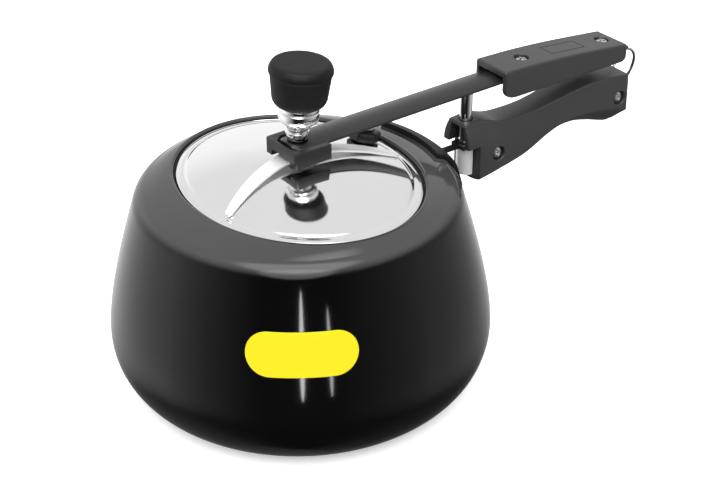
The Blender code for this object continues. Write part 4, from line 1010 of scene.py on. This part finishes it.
def make_post():
    low, high = mm_box("fulcrum_post")
    top = high[2]
    profile = rounded_path([(0, top), (2.2, top - 0.3), (3.65, top - 1.6), (3.65, 106.9), (1.9, 106.8),
                            (1.9, low[2]), (0, low[2])], [0, 1.0, 0.8, 0.3, 0.1, 0.3, 0])
    piece("post_pin", turned(profile, (POST_X, 0, 0), steps=72), chrome, "pot", ["fulcrum_post"])


# ---- locking loop ------------------------------------------------------------------------------
def make_loop():
    """Round wire: an eye about the rear screw, a leg bowed outwards, the bar over the catch, and
    the same again on the far side."""
    (pivot_x, pivot_z), (bar_x, bar_z), eye = BODY_SCREWS[1][1:], LOOP_BAR, 3.3
    turn = np.radians(np.linspace(-10, -290, 11))
    near = np.stack([pivot_x + eye * np.cos(turn), np.full(11, -5.5), pivot_z + eye * np.sin(turn)], axis=1)
    leg = [(234.5, -5.5, 111.2), (238.6, -5.9, 115.6), (240.9, -6.8, 120.9), (241.35, -7.8, 126.6),
           (240.4, -8.0, 131.0), (237.8, -7.8, 133.9), (235.0, -7.2, 135.0), (233.2, -6.2, 135.0),
           (bar_x, -4.8, bar_z)]
    near = np.concatenate([near, leg])
    far = near[::-1] * (1, -1, 1)
    piece("wire_loop", tube(through(np.concatenate([near, far]), 7), 0.95), chrome, "loop",
          ["locking_loop"])


def dress_small_parts():
    """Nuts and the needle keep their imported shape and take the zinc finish."""
    for name in ("fulcrum_nut", "body_handle_nut_front", "body_handle_nut_rear", "lid_handle_nut_front",
                 "lid_handle_nut_rear", "safety_valve_nut", "weight_needle"):
        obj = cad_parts[name]
        obj.material_slots[0].material = zinc.material


# ---- stage ---------------------------------------------------------------------------------------
def make_camera():
    data = bpy.data.cameras.new("camera")
    data.lens = 81.89
    data.sensor_width = 36.0
    camera = bpy.data.objects.new("camera", data)
    bpy.context.scene.collection.objects.link(camera)
    camera.location = (-0.43405, -0.62970, 0.5344)
    aim = Vector((0.0324, -0.0114, 0.0761))
    camera.rotation_euler = (aim - camera.location).to_track_quat("-Z", "Y").to_euler()
    bpy.context.scene.camera = camera


FRONT = Vector((-0.602, -0.798, 0.0))
SIDE = Vector((0.798, -0.602, 0.0))


def make_floor():
    """Pale floor that glows a little, so the pot's shadow stays light."""
    mesh = bpy.data.meshes.new("floor")
    corners = ((-4, -4), (4, -4), (4, 4), (-4, 4))
    mesh.from_pydata([(x, y, -0.0002) for x, y in corners], [], [(0, 1, 2, 3)])
    floor = bpy.data.objects.new("floor", mesh)
    bpy.context.scene.collection.objects.link(floor)
    material = bpy.data.materials.new("floor")
    material.use_nodes = True
    for socket, value in (("Base Color", (0.9, 0.9, 0.9, 1)), ("Roughness", 0.9), ("Specular IOR Level", 0.1),
                          ("Emission Color", (1, 1, 1, 1)), ("Emission Strength", 0.35)):
        material.node_tree.nodes["Principled BSDF"].inputs[socket].default_value = value
    mesh.materials.append(material)
    floor.visible_glossy = False


def make_streak(turn, tall, wide, middle, power, lit):
    """Slim standing lamp, turned that many degrees round the belly, that lights one collection."""
    light = bpy.data.lights.new("streak", "AREA")
    light.shape = "ELLIPSE"
    light.size, light.size_y = wide, tall
    light.energy = power
    lamp = bpy.data.objects.new("streak", light)
    bpy.context.scene.collection.objects.link(lamp)
    near, far = math.radians(turn), math.radians(2 * turn)
    lamp.location = ((FRONT * math.cos(near) + SIDE * math.sin(near)) * 0.1
                     + (FRONT * math.cos(far) + SIDE * math.sin(far)) * 0.15 + Vector((0, 0, middle)))
    lamp.rotation_euler = (Vector((0, 0, middle)) - lamp.location).to_track_quat("-Z", "Y").to_euler()
    lamp.visible_camera = False
    lamp.light_linking.receiver_collection = lit


def make_stage():
    """Floor, and two slim lamps in front that draw streaks down the belly only."""
    make_floor()
    belly_only = bpy.data.collections.new("belly_only")
    belly_only.objects.link(bpy.data.objects["pot_shell"])
    make_streak(1.5, 0.11, 0.009, 0.055, 0.055, belly_only)
    make_streak(9.5, 0.09, 0.007, 0.05, 0.024, belly_only)


def make_world():
    """Studio light by direction. Low down it rises from black in front to white at the sides and
    behind; higher up it is white all round, and a soft box shines from above the front."""
    world = bpy.data.worlds.new("studio")
    bpy.context.scene.world = world
    world.use_nodes = True
    studio = Finish.__new__(Finish)
    studio.tree = world.node_tree
    direction = studio.node("ShaderNodeTexCoord")["Generated"]
    parts = studio.node("ShaderNodeSeparateXYZ", None, {"Vector": direction})
    up = parts["Z"]
    front = parts["X"] * FRONT.x + parts["Y"] * FRONT.y
    side = parts["X"] * SIDE.x + parts["Y"] * SIDE.y
    level_length = (1.0001 - up * up) ** 0.5
    turn = front / level_length
    rise = studio.clamp((0.93 - turn) / 0.8)
    right = studio.step(side / level_length, -0.2, 0.9)
    low_light = (0.015 + rise * (1.15 - right * 0.6)) * (1 - 0.85 * studio.step(up, -0.4, -0.7))
    high = studio.step(up, 0.25, 0.55)
    soft_box = studio.step(front * 0.42 + up * 0.9075, 0.84, 0.94)
    edge_box = studio.step(front * 0.8 + up * 0.6, 0.9, 0.96)
    light = low_light * (1 - high) + high * 0.95 + soft_box * 4.0 + edge_box * 3.0
    seen = studio.node("ShaderNodeLightPath")["Is Camera Ray"]
    background = world.node_tree.nodes["Background"]
    background.inputs["Color"].default_value = (1, 1, 1, 1)
    studio.feed(background.inputs["Strength"], light * (1 - seen) + seen)


make_camera()
make_pot()
make_label()
make_lid()
make_gasket()
make_vent()
make_spring()
make_safety_valve()
make_weight()
make_bar()
make_guide()
make_lid_handle()
make_lid_handle_screws()
make_body_handle()
make_body_screws()
make_bracket()
make_rivets()
make_guard()
make_post()
make_loop()
dress_small_parts()
make_stage()
make_world()
bpy.context.scene.view_settings.view_transform = "Standard"
